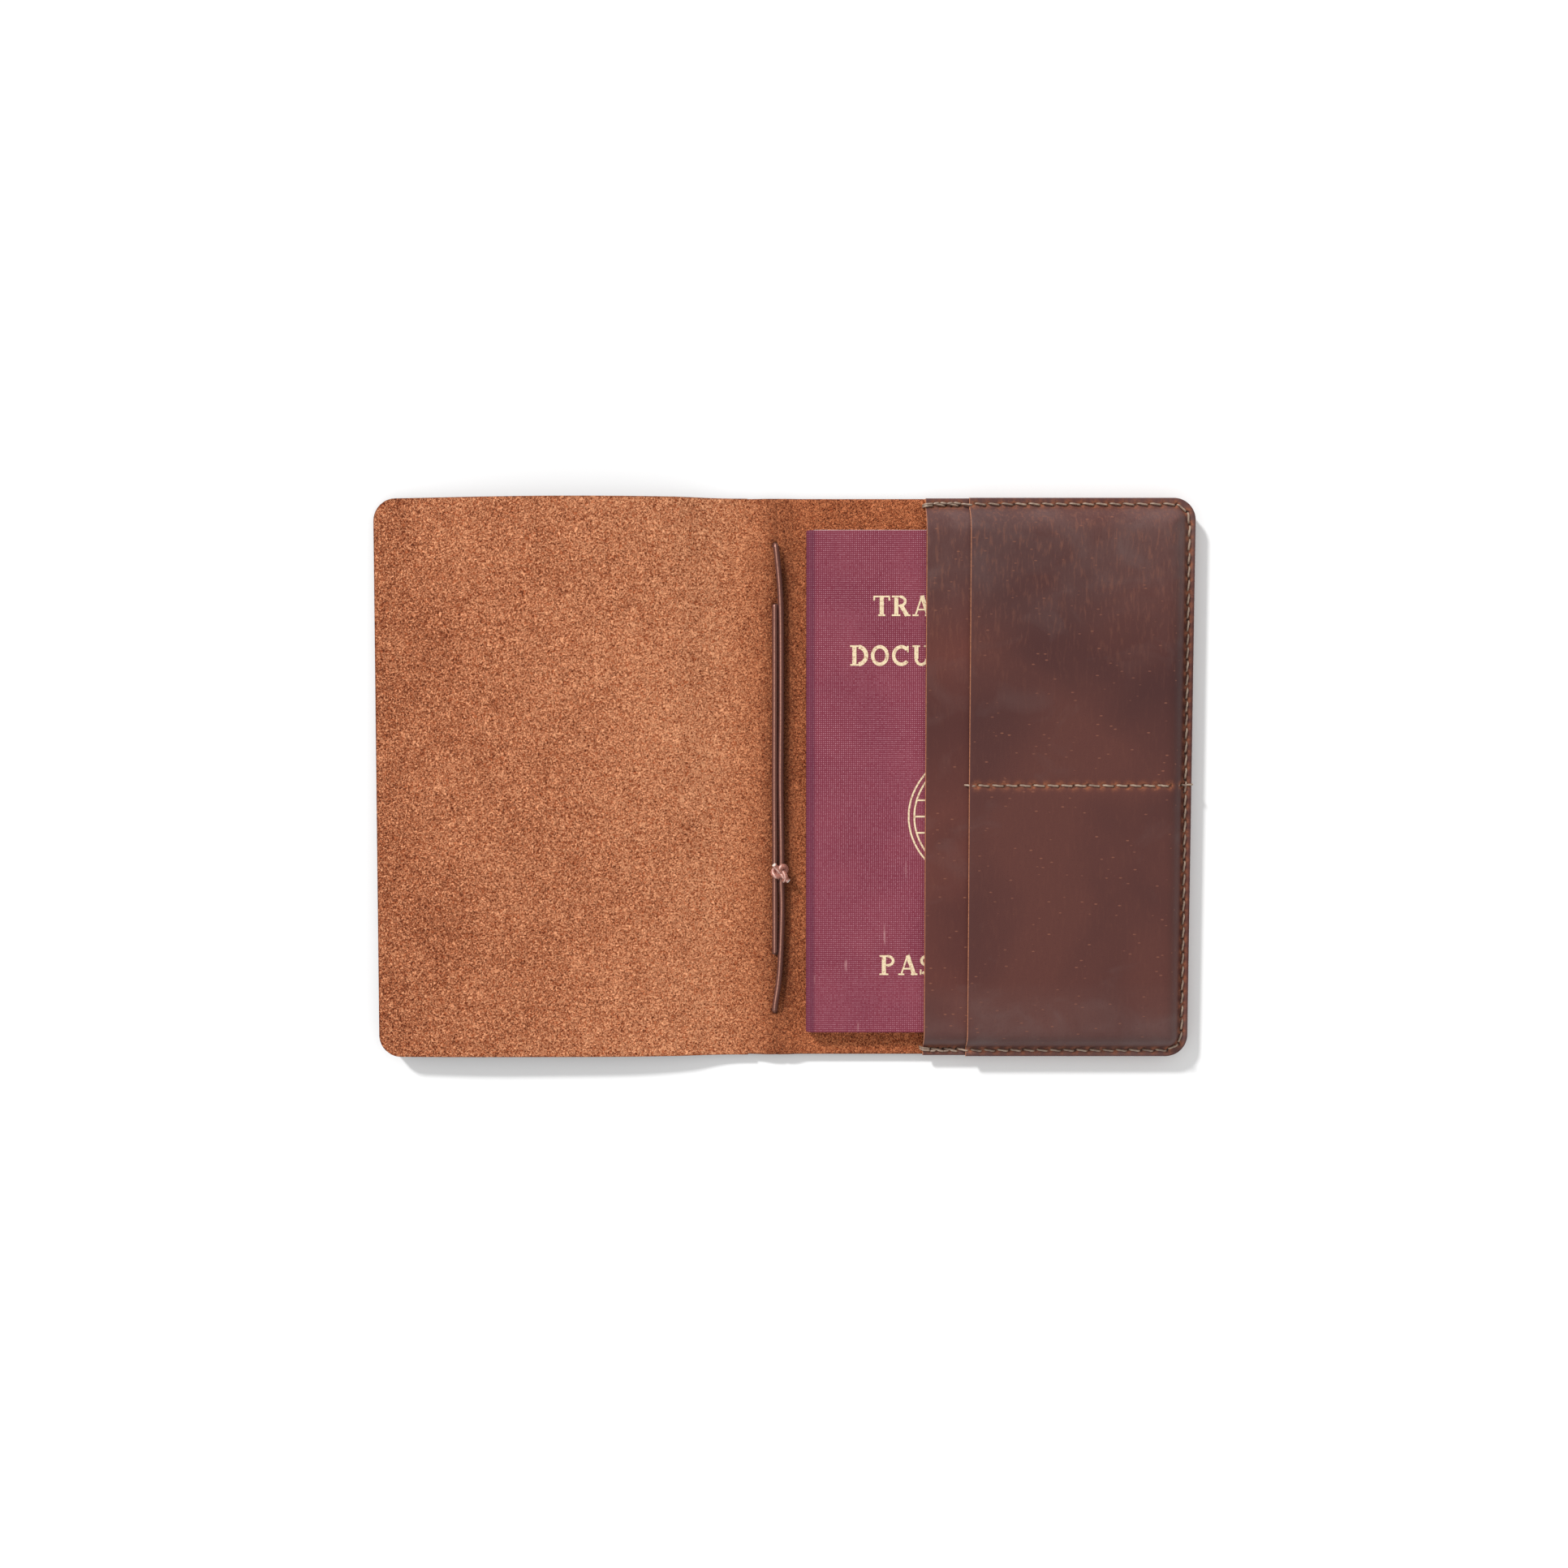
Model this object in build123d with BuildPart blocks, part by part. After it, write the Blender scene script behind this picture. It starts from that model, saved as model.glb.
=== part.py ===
from build123d import *
import math
import os

os.makedirs("parts", exist_ok=True)

# Passport holder, lying open and flat with its inside face up.
# X runs across the two covers, Y along the spine, Z up from the outside face of the cover.
# The origin is on the resting face, in the middle of the open cover.

# Passport booklet
passport_width = 88.0
passport_height = 125.0
passport_thickness = 3.2
passport_corner_radius = 3.2
passport_board = 0.5
passport_from_crease = 3.6   # booklet spine, from the crease beside it
passport_floor_gap = 0.1
passport_headroom = 0.4
page_gap = 0.05
page_inset = 0.3

# Cover: one sheet of leather, creased into a spine between two boards. The back board takes the
# booklet and the slopes of the pocket round it, with some play, and the front board is shorter.
fore_edge_play = 2.0
head_play = 1.95
foot_play = 0.25
front_board_short = 3.0
cover_thickness = 1.6
corner_radius = 5.5

# Spine: the strip between two creases, each crease turning 90 degrees
spine_width = 7.0
crease_gap = 0.3

# Pocket panels, sewn on three sides and open towards the spine
panel_thickness = 1.1
pocket_panel_width = 66.65
card_panel_width = 55.95
card_slot_gap = 0.1
flat_margin = 2.45           # sewn edge that stays flat on the cover
base_corner_radius = 3.5
plateau_corner_radius = 2.0
mouth_overrun = 10.0

# Sewing
thread_diameter = 0.5
thread_bend = 0.3
thread_clearance = 0.01
seam_inset = 1.65
seam_pitch = 3.33
first_hole_from_mouth = 1.8
wrap_hole_from_mouth = 0.8
needle_hole_diameter = 1.24
leg_from_hole = 0.3
lock_gap = 0.05
groove_width = 1.3
seam_lock_height = 1.3
seam_groove_depth = 0.55
divider_pitch = 3.4
divider_drop = 1.2
divider_hole_before_card = 1.4
divider_groove_depth = 0.35
divider_end_room = 1.8       # raised leather left beyond the last hole, at least

# Elastic closure cord, threaded through four holes in the spine
elastic_diameter = 1.45
elastic_bend = 0.85
elastic_hole_clearance = 0.15
elastic_seat_clearance = 0.02
elastic_outer_thickness = 0.85
elastic_groove_depth = 0.95
elastic_hole_shift = -0.6    # holes, from the middle of the spine
elastic_outer_hole = 58.3    # holes above and below the middle of the cover
elastic_inner_hole = 43.2
elastic_passage_start = 0.5
knot_size = (3.4, 4.4, 2.4)
knot_centre = (0.5, -23.6)   # from the middle of the spine
tail_pinch = 0.15            # a cut end is a little thinner than the cord
tail_past_cord = 1.75        # so that its end clears the runs beside it
tail_angle = 132.0
core_diameter = 0.75
core_depth = 0.6
core_proud = 0.08

# Worked-out places
pocket_rise = passport_floor_gap + passport_thickness + passport_headroom
slope_run = flat_margin + pocket_rise
back_board_width = passport_from_crease + passport_width + slope_run + fore_edge_play
front_board_width = back_board_width - front_board_short
cover_width = back_board_width + spine_width + front_board_width
cover_height = passport_height + 2 * slope_run + head_play + foot_play
passport_drop = (head_play - foot_play) / 2

cover_right = cover_width / 2
back_crease_x = cover_right - back_board_width
front_crease_x = back_crease_x - spine_width
spine_x = (back_crease_x + front_crease_x) / 2
half_gap = crease_gap / 2

pocket_mouth = cover_right - pocket_panel_width
card_mouth = cover_right - card_panel_width
passport_left = back_crease_x + passport_from_crease
passport_floor = cover_thickness + passport_floor_gap
passport_centre_x = passport_left + passport_width / 2

pocket_flat_top = cover_thickness + panel_thickness
pocket_top = pocket_flat_top + pocket_rise
card_rise = pocket_rise + card_slot_gap
card_flat_top = pocket_flat_top + panel_thickness
card_top = card_flat_top + card_rise

seam_x = cover_right - seam_inset
seam_y = cover_height / 2 - seam_inset
thread_radius = thread_diameter / 2
thread_lift = thread_radius + thread_clearance

elastic_radius = elastic_diameter / 2
tail_diameter = elastic_diameter - tail_pinch
tail_length = elastic_diameter + tail_past_cord
elastic_x = spine_x + elastic_hole_shift
elastic_height = cover_thickness + elastic_radius + elastic_seat_clearance
elastic_hole_radius = (elastic_diameter + elastic_hole_clearance) / 2


# Outlines of the leather


def sewn_outline(left, inset, radius):
    """Outline from a straight left edge to the rounded right corners, set in from the cover's edge."""
    with BuildSketch() as outline:
        with Locations((left, 0)):
            Rectangle(
                cover_right - inset - left,
                cover_height - 2 * inset,
                align=(Align.MIN, Align.CENTER),
            )
        fillet(outline.vertices().group_by(Axis.X)[-1], radius)
    return outline.sketch


def formed_panel(mouth, seat, rise):
    """Leather panel with a flat sewn edge on three sides and a raised middle, open at its mouth."""
    with BuildPart() as panel:
        with BuildSketch(Plane.XY.offset(seat)):
            add(sewn_outline(mouth - mouth_overrun, 0, corner_radius))
        extrude(amount=panel_thickness)
        with BuildSketch(Plane.XY.offset(seat + panel_thickness)):
            add(sewn_outline(mouth - mouth_overrun, flat_margin, base_corner_radius))
        with BuildSketch(Plane.XY.offset(seat + panel_thickness + rise)):
            add(sewn_outline(mouth - mouth_overrun, slope_run, plateau_corner_radius))
        loft(ruled=True)
        with BuildSketch(Plane.XY.offset(seat)):
            add(sewn_outline(mouth - mouth_overrun, flat_margin, base_corner_radius))
        with BuildSketch(Plane.XY.offset(seat + rise)):
            add(sewn_outline(mouth - mouth_overrun, slope_run, plateau_corner_radius))
        loft(ruled=True, mode=Mode.SUBTRACT)
        split(bisect_by=Plane.YZ.offset(mouth), keep=Keep.TOP)
    return panel.part


# Seams: the places of the needle holes


with BuildLine() as seam_line:
    FilletPolyline(
        (pocket_mouth + first_hole_from_mouth, seam_y),
        (seam_x, seam_y),
        (seam_x, -seam_y),
        (pocket_mouth + first_hole_from_mouth, -seam_y),
        radius=corner_radius - seam_inset,
    )
seam_path = seam_line.wire()
seam_stitches = round(seam_path.length / seam_pitch)
seam_holes = [seam_path @ (i / seam_stitches) for i in range(seam_stitches + 1)]
wrap_holes = [Vector(pocket_mouth - wrap_hole_from_mouth, side * seam_y) for side in (1, -1)]

divider_start = card_mouth - divider_hole_before_card
divider_end = cover_right - flat_margin - pocket_rise - divider_end_room
divider_stitches = math.floor((divider_end - divider_start) / divider_pitch)
divider_holes = [
    Vector(divider_start + i * divider_pitch, -divider_drop) for i in range(divider_stitches + 1)
]


def stitch_locations(holes, height):
    """Middle and direction of the stitch between each hole and the next, at one height."""
    places = []
    for start, end in zip(holes[:-1], holes[1:]):
        middle = (start + end) / 2
        along = end - start
        turn = math.degrees(math.atan2(along.Y, along.X))
        places.append(Location((middle.X, middle.Y, height), (0, 0, turn)))
    return places


def thread_stitch(pitch, drop):
    """One stitch: thread lying along X, its two legs bent into the holes and going down by drop."""
    reach = pitch / 2 - leg_from_hole
    with BuildPart() as stitch:
        with BuildLine() as run:
            FilletPolyline(
                (-reach, 0, -drop),
                (-reach, 0, 0),
                (reach, 0, 0),
                (reach, 0, -drop),
                radius=thread_bend,
            )
        with BuildSketch(run.line ^ 0):
            Circle(thread_radius)
        sweep()
    return stitch.part


def turned_up(stitch):
    """The same stitch with its legs pointing up, for the underside of a seam."""
    return stitch.rotate(Axis.X, 180)


# Back cover: from the back crease to the right edge, with the stitch groove on its outside


with BuildPart() as back_cover:
    with BuildSketch():
        add(sewn_outline(back_crease_x + half_gap, 0, corner_radius))
    extrude(amount=cover_thickness)
    with BuildSketch():
        groove_left = pocket_mouth - wrap_hole_from_mouth - groove_width
        outside = seam_inset - groove_width / 2
        inside = seam_inset + groove_width / 2
        add(sewn_outline(groove_left, outside, corner_radius - outside))
        add(sewn_outline(groove_left, inside, corner_radius - inside), mode=Mode.SUBTRACT)
    extrude(amount=seam_groove_depth, mode=Mode.SUBTRACT)
    with Locations(*seam_holes, *wrap_holes):
        Cylinder(
            needle_hole_diameter / 2,
            cover_thickness,
            align=(Align.CENTER, Align.CENTER, Align.MIN),
            mode=Mode.SUBTRACT,
        )
back_cover.part.label = "back_cover"

# Front cover: from the front crease to the left edge


with BuildPart() as front_cover:
    with BuildSketch() as front_outline:
        with Locations((-cover_right, 0)):
            Rectangle(
                cover_right + front_crease_x - half_gap,
                cover_height,
                align=(Align.MIN, Align.CENTER),
            )
        fillet(front_outline.vertices().group_by(Axis.X)[0], corner_radius)
    extrude(amount=cover_thickness)
front_cover.part.label = "front_cover"

# Spine strip: the leather between the creases.
# It has the four elastic holes and, outside, a groove for each outer run

outer_run_middle = (elastic_outer_hole + elastic_inner_hole) / 2
outer_run_length = elastic_outer_hole - elastic_inner_hole
elastic_holes = [
    (elastic_x, side * height)
    for side in (1, -1)
    for height in (elastic_outer_hole, elastic_inner_hole)
]

with BuildPart() as spine_strip:
    with BuildSketch():
        with Locations((spine_x, 0)):
            Rectangle(spine_width - crease_gap, cover_height)
    extrude(amount=cover_thickness)
    with BuildSketch():
        with Locations((elastic_x, outer_run_middle), (elastic_x, -outer_run_middle)):
            SlotCenterToCenter(outer_run_length, 2 * elastic_hole_radius, rotation=90)
    extrude(amount=elastic_groove_depth, mode=Mode.SUBTRACT)
    with Locations(*elastic_holes):
        Cylinder(
            elastic_hole_radius,
            cover_thickness,
            align=(Align.CENTER, Align.CENTER, Align.MIN),
            mode=Mode.SUBTRACT,
        )
spine_strip.part.label = "spine_strip"

# Passport pocket: sewn to the back cover on three sides

pocket_blank = formed_panel(pocket_mouth, cover_thickness, pocket_rise)

with BuildPart() as passport_pocket:
    add(pocket_blank)
    with Locations(*seam_holes):
        Cylinder(
            needle_hole_diameter / 2,
            pocket_flat_top,
            align=(Align.CENTER, Align.CENTER, Align.MIN),
            mode=Mode.SUBTRACT,
        )
    with Locations(*divider_holes):
        Cylinder(
            needle_hole_diameter / 2,
            pocket_top,
            align=(Align.CENTER, Align.CENTER, Align.MIN),
            mode=Mode.SUBTRACT,
        )
    with BuildSketch(Plane.XY.offset(pocket_top - panel_thickness)):
        with Locations(((divider_holes[0] + divider_holes[-1]) / 2)):
            SlotCenterToCenter(divider_pitch * divider_stitches, groove_width)
    extrude(amount=divider_groove_depth, mode=Mode.SUBTRACT)
passport_pocket.part.label = "passport_pocket"

# Card pocket: lies on the passport pocket, and the divider seam makes two slots of it

card_blank = formed_panel(card_mouth, pocket_flat_top, card_rise)
card_seam_holes = [hole for hole in seam_holes if hole.X > card_mouth]
card_divider_holes = [hole for hole in divider_holes if hole.X > card_mouth]

with BuildPart() as card_pocket:
    add(card_blank)
    with Locations(*card_seam_holes):
        Cylinder(
            needle_hole_diameter / 2,
            card_flat_top,
            align=(Align.CENTER, Align.CENTER, Align.MIN),
            mode=Mode.SUBTRACT,
        )
    with Locations(*card_divider_holes):
        Cylinder(
            needle_hole_diameter / 2,
            card_top,
            align=(Align.CENTER, Align.CENTER, Align.MIN),
            mode=Mode.SUBTRACT,
        )
card_pocket.part.label = "card_pocket"

# Seam threads: the needle thread on top and the bobbin thread outside, locked inside the leather

pocket_thread_height = pocket_flat_top + thread_lift
card_thread_height = card_flat_top + thread_lift
bobbin_thread_height = seam_groove_depth - thread_lift
wrap_pitch = first_hole_from_mouth + wrap_hole_from_mouth

seam_pitch_used = seam_path.length / seam_stitches
low_stitch = thread_stitch(seam_pitch_used, pocket_thread_height - seam_lock_height)
high_stitch = thread_stitch(seam_pitch_used, card_thread_height - seam_lock_height)
wrap_stitch = thread_stitch(wrap_pitch, pocket_thread_height - seam_lock_height)
bobbin_drop = seam_lock_height - lock_gap - bobbin_thread_height
bobbin_stitch = turned_up(thread_stitch(seam_pitch_used, bobbin_drop))
bobbin_wrap_stitch = turned_up(thread_stitch(wrap_pitch, bobbin_drop))

low_places = [
    place
    for place in stitch_locations(seam_holes, pocket_thread_height)
    if place.position.X + seam_pitch_used / 2 < card_mouth
]
high_places = [
    place
    for place in stitch_locations(seam_holes, card_thread_height)
    if place.position.X + seam_pitch_used / 2 >= card_mouth
]
wrap_middles = [Vector(hole.X + wrap_pitch / 2, hole.Y) for hole in wrap_holes]

with BuildPart() as seam_needle_thread:
    with Locations(*low_places):
        add(low_stitch)
    with Locations(*high_places):
        add(high_stitch)
    with Locations(*[(middle.X, middle.Y, pocket_thread_height) for middle in wrap_middles]):
        add(wrap_stitch)
seam_needle_thread.part.label = "seam_needle_thread"

with BuildPart() as seam_bobbin_thread:
    with Locations(*stitch_locations(seam_holes, bobbin_thread_height)):
        add(bobbin_stitch)
    with Locations(*[(middle.X, middle.Y, bobbin_thread_height) for middle in wrap_middles]):
        add(bobbin_wrap_stitch)
seam_bobbin_thread.part.label = "seam_bobbin_thread"

# Divider threads: the same stitch through the two panels only

divider_lock_height = pocket_top - panel_thickness / 2 + lock_gap
divider_thread_height = card_top + thread_lift
divider_bobbin_height = pocket_top - panel_thickness + divider_groove_depth - thread_lift
divider_stitch = thread_stitch(divider_pitch, divider_thread_height - divider_lock_height)
divider_bobbin_drop = divider_lock_height - lock_gap - divider_bobbin_height
divider_bobbin_stitch = turned_up(thread_stitch(divider_pitch, divider_bobbin_drop))

with BuildPart() as divider_needle_thread:
    with Locations(*stitch_locations(divider_holes, divider_thread_height)):
        add(divider_stitch)
divider_needle_thread.part.label = "divider_needle_thread"

with BuildPart() as divider_bobbin_thread:
    with Locations(*stitch_locations(divider_holes, divider_bobbin_height)):
        add(divider_bobbin_stitch)
divider_bobbin_thread.part.label = "divider_bobbin_thread"

# Elastic cord: out of the knot, through a hole to the outside, back in through the next hole,
# down the inside to the other pair of holes, and back up to the knot

knot_x = spine_x + knot_centre[0]
knot_y = knot_centre[1]
side_run_x = spine_x + 0.95
upper_run = [
    (knot_x + 0.1, knot_y + 1.0, elastic_height),
    (side_run_x + 0.1, knot_y + 7.0, elastic_height),
    (side_run_x - 0.02, 0.0, elastic_height),
    (side_run_x + 0.06, 24.0, elastic_height),
    (side_run_x - 0.01, elastic_inner_hole + 0.5, elastic_height),
    (elastic_x, elastic_outer_hole, elastic_height),
    (elastic_x, elastic_outer_hole, elastic_passage_start),
]
upper_radii = [40.0, 80.0, 80.0, 12.0, elastic_bend]
lower_run = [
    (knot_x + 0.1, knot_y - 1.0, elastic_height),
    (side_run_x + 0.02, knot_y - 6.5, elastic_height),
    (side_run_x - 0.05, -elastic_inner_hole + 0.5, elastic_height),
    (elastic_x, -elastic_outer_hole, elastic_height),
    (elastic_x, -elastic_outer_hole, elastic_passage_start),
]
lower_radii = [40.0, 12.0, elastic_bend]
short_run = [
    (elastic_x, elastic_inner_hole, elastic_passage_start),
    (elastic_x, elastic_inner_hole, elastic_height),
    (elastic_x, -elastic_inner_hole, elastic_height),
    (elastic_x, -elastic_inner_hole, elastic_passage_start),
]
short_radii = [elastic_bend, elastic_bend]


def cord_run(points, radii):
    """Round cord along straight runs joined by tangent arcs, one radius for each corner."""
    with BuildPart() as cord:
        with BuildLine() as run:
            FilletPolyline(*points, radius=radii)
        with BuildSketch(run.line ^ 0):
            Circle(elastic_radius)
        sweep()
    print("cord run length", round(run.wire().length, 1), "radii", radii)
    return cord.part


upper_cord = cord_run(upper_run, upper_radii)
lower_cord = cord_run(lower_run, lower_radii)
short_cord = cord_run(short_run, short_radii)
outer_run_floor = elastic_groove_depth - elastic_seat_clearance - elastic_outer_thickness

with BuildPart() as elastic_cord:
    add(upper_cord)
    add(lower_cord)
    add(short_cord)
    with BuildSketch(Plane.XY.offset(outer_run_floor)):
        with Locations((elastic_x, outer_run_middle), (elastic_x, -outer_run_middle)):
            SlotCenterToCenter(outer_run_length, elastic_diameter, rotation=90)
    extrude(amount=elastic_outer_thickness)
elastic_cord.part.label = "elastic_cord"

# Knot: where the two ends of the cord are tied, with two short cut tails

knot_middle_height = cover_thickness + knot_size[2] / 2 + elastic_seat_clearance
tail_height = knot_middle_height + 0.35
tail_directions = [
    Vector(math.cos(math.radians(angle)), math.sin(math.radians(angle)), 0)
    for angle in (tail_angle, tail_angle + 180.0)
]
tail_origin = Vector(knot_x, knot_y, tail_height)
tail_start_planes = [Plane(origin=tail_origin, z_dir=direction) for direction in tail_directions]
core_planes = [
    Plane(origin=tail_origin + direction * (tail_length - core_depth), z_dir=direction)
    for direction in tail_directions
]

with BuildPart() as elastic_knot:
    with Locations((0, 0, 0)):
        Sphere(0.5)
    scale(by=knot_size)
    elastic_knot.part = elastic_knot.part.moved(Location((knot_x, knot_y, knot_middle_height)))
    for plane in tail_start_planes:
        with BuildSketch(plane):
            Circle(tail_diameter / 2)
        extrude(amount=tail_length)
    for plane in core_planes:
        with BuildSketch(plane):
            Circle(core_diameter / 2)
        extrude(amount=core_depth, mode=Mode.SUBTRACT)
    add(elastic_cord.part, mode=Mode.SUBTRACT)
elastic_knot.part.label = "elastic_knot"

# Rubber cores: the pale strands that show in the cut ends

with BuildPart() as elastic_cores:
    for plane in core_planes:
        with BuildSketch(plane):
            Circle(core_diameter / 2)
        extrude(amount=core_depth + core_proud)
elastic_cores.part.label = "elastic_cores"

# Passport cover: two boards and a rounded spine, folded round the pages


def booklet_outline(inset, left_inset):
    """Booklet outline: square at its spine, rounded at its fore edge."""
    with BuildSketch() as outline:
        with Locations((passport_left + left_inset, -passport_drop)):
            Rectangle(
                passport_width - inset - left_inset,
                passport_height - 2 * inset,
                align=(Align.MIN, Align.CENTER),
            )
        fillet(outline.vertices().group_by(Axis.X)[-1], passport_corner_radius - inset)
    return outline.sketch


page_block_thickness = passport_thickness - 2 * passport_board - 2 * page_gap

with BuildPart() as passport_cover:
    with BuildSketch(Plane.XY.offset(passport_floor)):
        add(booklet_outline(0, 0))
    extrude(amount=passport_thickness)
    spine_edges = passport_cover.edges().filter_by(Axis.Y).group_by(Axis.X)[0]
    fillet(spine_edges, passport_thickness * 0.42)
    with BuildSketch(Plane.XY.offset(passport_floor + passport_board)):
        with Locations((passport_left + passport_board, -passport_drop)):
            Rectangle(
                passport_width,
                passport_height + passport_corner_radius,
                align=(Align.MIN, Align.CENTER),
            )
    extrude(amount=passport_thickness - 2 * passport_board, mode=Mode.SUBTRACT)
passport_cover.part.label = "passport_cover"

# Passport pages: the sewn block between the boards

with BuildPart() as passport_pages:
    with BuildSketch(Plane.XY.offset(passport_floor + passport_board + page_gap)):
        add(booklet_outline(page_inset, passport_board + page_gap))
    extrude(amount=page_block_thickness)
passport_pages.part.label = "passport_pages"

# One STEP file for each node

pieces = [
    back_cover,
    front_cover,
    spine_strip,
    passport_pocket,
    card_pocket,
    seam_needle_thread,
    seam_bobbin_thread,
    divider_needle_thread,
    divider_bobbin_thread,
    elastic_cord,
    elastic_knot,
    elastic_cores,
    passport_cover,
    passport_pages,
]
for piece in pieces:
    export_step(piece.part, f"parts/{piece.part.label}.step")
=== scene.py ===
import math

import bpy
import numpy as np
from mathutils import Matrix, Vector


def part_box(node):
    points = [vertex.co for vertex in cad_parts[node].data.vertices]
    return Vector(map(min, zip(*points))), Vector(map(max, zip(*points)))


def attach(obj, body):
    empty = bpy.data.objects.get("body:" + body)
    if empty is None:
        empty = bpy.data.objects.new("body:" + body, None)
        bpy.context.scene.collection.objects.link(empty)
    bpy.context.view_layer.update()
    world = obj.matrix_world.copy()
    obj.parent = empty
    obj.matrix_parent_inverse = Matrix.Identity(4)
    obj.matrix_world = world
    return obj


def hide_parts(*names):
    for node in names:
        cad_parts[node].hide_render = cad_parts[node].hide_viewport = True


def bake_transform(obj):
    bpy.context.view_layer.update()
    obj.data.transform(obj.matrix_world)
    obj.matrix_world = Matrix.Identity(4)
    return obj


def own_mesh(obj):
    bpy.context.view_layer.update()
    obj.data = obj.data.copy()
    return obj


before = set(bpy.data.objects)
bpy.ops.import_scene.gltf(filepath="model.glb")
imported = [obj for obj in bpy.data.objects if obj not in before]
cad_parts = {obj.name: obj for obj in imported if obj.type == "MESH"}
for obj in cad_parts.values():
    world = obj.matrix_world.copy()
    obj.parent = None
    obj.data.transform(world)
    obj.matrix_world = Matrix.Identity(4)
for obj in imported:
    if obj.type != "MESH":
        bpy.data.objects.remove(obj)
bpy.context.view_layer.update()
MM = 0.001

# ---------------------------------------------------------------------------------------------
# The table, the light and the camera: a white table top under a soft window from the upper left,
# seen from almost straight above. None of it is part of the holder.
# ---------------------------------------------------------------------------------------------


def node(tree, kind, settings, inputs):
    """One shader node: its settings, and for each input a value or the output that feeds it."""
    made = tree.nodes.new("ShaderNode" + kind)
    for name, value in settings.items():
        setattr(made, name, value)
    for name, value in inputs.items():
        if isinstance(value, bpy.types.NodeSocket):
            tree.links.new(value, made.inputs[name])
        else:
            made.inputs[name].default_value = value
    return made


def new_material(name):
    """An empty node material, its tree and its surface shader."""
    made = bpy.data.materials.new(name)
    made.use_nodes = True
    return made, made.node_tree, made.node_tree.nodes["Principled BSDF"]


table_paint, _, table_shader = new_material("white_table")
table_shader.inputs["Base Color"].default_value = (0.9, 0.9, 0.9, 1)
table_shader.inputs["Roughness"].default_value = 0.9
table_shader.inputs["Specular IOR Level"].default_value = 0.1
table_mesh = bpy.data.meshes.new("table")
table_half = 3.0
table_drop = 0.6  # the hide's own curl holds it this far off the table
table_mesh.from_pydata(
    [(x, y, -table_drop * MM) for x, y in ((-table_half, -table_half), (table_half, -table_half),
                                           (table_half, table_half), (-table_half, table_half))],
    [], [(0, 1, 2, 3)],
)
table = bpy.data.objects.new("table", table_mesh)
table.data.materials.append(table_paint)
bpy.context.scene.collection.objects.link(table)

world = bpy.data.worlds.new("studio")
bpy.context.scene.world = world
world.use_nodes = True
world.node_tree.nodes["Background"].inputs["Color"].default_value = (1.0, 1.0, 1.0, 1)
world.node_tree.nodes["Background"].inputs["Strength"].default_value = 0.75

window_direction = (1.1, -1.3, -1.0)
window_light = bpy.data.lights.new("window", "SUN")
window_light.energy = 2.85
window_light.angle = math.radians(6)
window = bpy.data.objects.new("window", window_light)
window_turn = Vector(window_direction).to_track_quat("-Z", "Y")
window.rotation_euler = window_turn.to_euler()
bpy.context.scene.collection.objects.link(window)

camera_distance = 0.360
camera_lean = math.radians(3.3)
frame_width = 0.3895
camera_target = Vector((0.1 * MM, -0.9 * MM, 4.9 * MM))
camera_data = bpy.data.cameras.new("camera")
camera_data.lens = camera_data.sensor_width * camera_distance / frame_width
camera = bpy.data.objects.new("camera", camera_data)
camera_back = Vector((0, math.sin(camera_lean), math.cos(camera_lean)))
camera.location = camera_target + camera_distance * camera_back
camera.rotation_euler = (-camera_lean, 0, 0)
bpy.context.scene.collection.objects.link(camera)
bpy.context.scene.camera = camera
bpy.context.scene.view_settings.view_transform = "Standard"

# ---------------------------------------------------------------------------------------------
# Front cover: the left half of the one cover hide, loose suede inside and waxed grain outside,
# cut with rounded corners. It has no lining, so it lifts off the table in a low arch.
# ---------------------------------------------------------------------------------------------


def spread_lines(length, step, rim, crowds=()):
    """Places from 0 to length: crowded in the rim at each end by a cosine, and between the rims one
    step apart, or closer near each crowd (place, reach, step), whose nearness falls off as
    1 / (1 + (distance / reach)^6)."""
    fine = np.linspace(rim, length - rim, 4001)
    density = np.full(4001, 1 / step)
    for place, reach, closer in crowds:
        density = np.maximum(density, 1 / (1 + (np.abs(fine - place) / reach) ** 6) / closer)
    count = np.concatenate([[0], np.cumsum((density[1:] + density[:-1]) / 2 * np.diff(fine))])
    middle = np.interp(np.linspace(0, count[-1], max(3, int(round(count[-1])) + 1)), count, fine)
    edge = rim * (1 - np.cos(np.linspace(0, np.pi / 2, 6)))
    return np.concatenate([edge[:-1], middle, (length - edge[::-1])[1:]])


def rounded_distance(x, y, box, radii):
    """Distance inside an outline box (left, right, low, high) whose corners are arcs of radius
    radii[0] on the left and radii[1] on the right: the usual rounded-box distance, turned over."""
    left, right, low, high = box
    centre_x, centre_y = (left + right) / 2, (low + high) / 2
    radius = np.where(x < centre_x, radii[0], radii[1])
    reach_x = np.abs(x - centre_x) - (right - left) / 2 + radius
    reach_y = np.abs(y - centre_y) - (high - low) / 2 + radius
    outside = np.hypot(np.maximum(reach_x, 0), np.maximum(reach_y, 0))
    inside = np.minimum(np.maximum(reach_x, reach_y), 0)
    return radius - outside - inside


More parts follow.
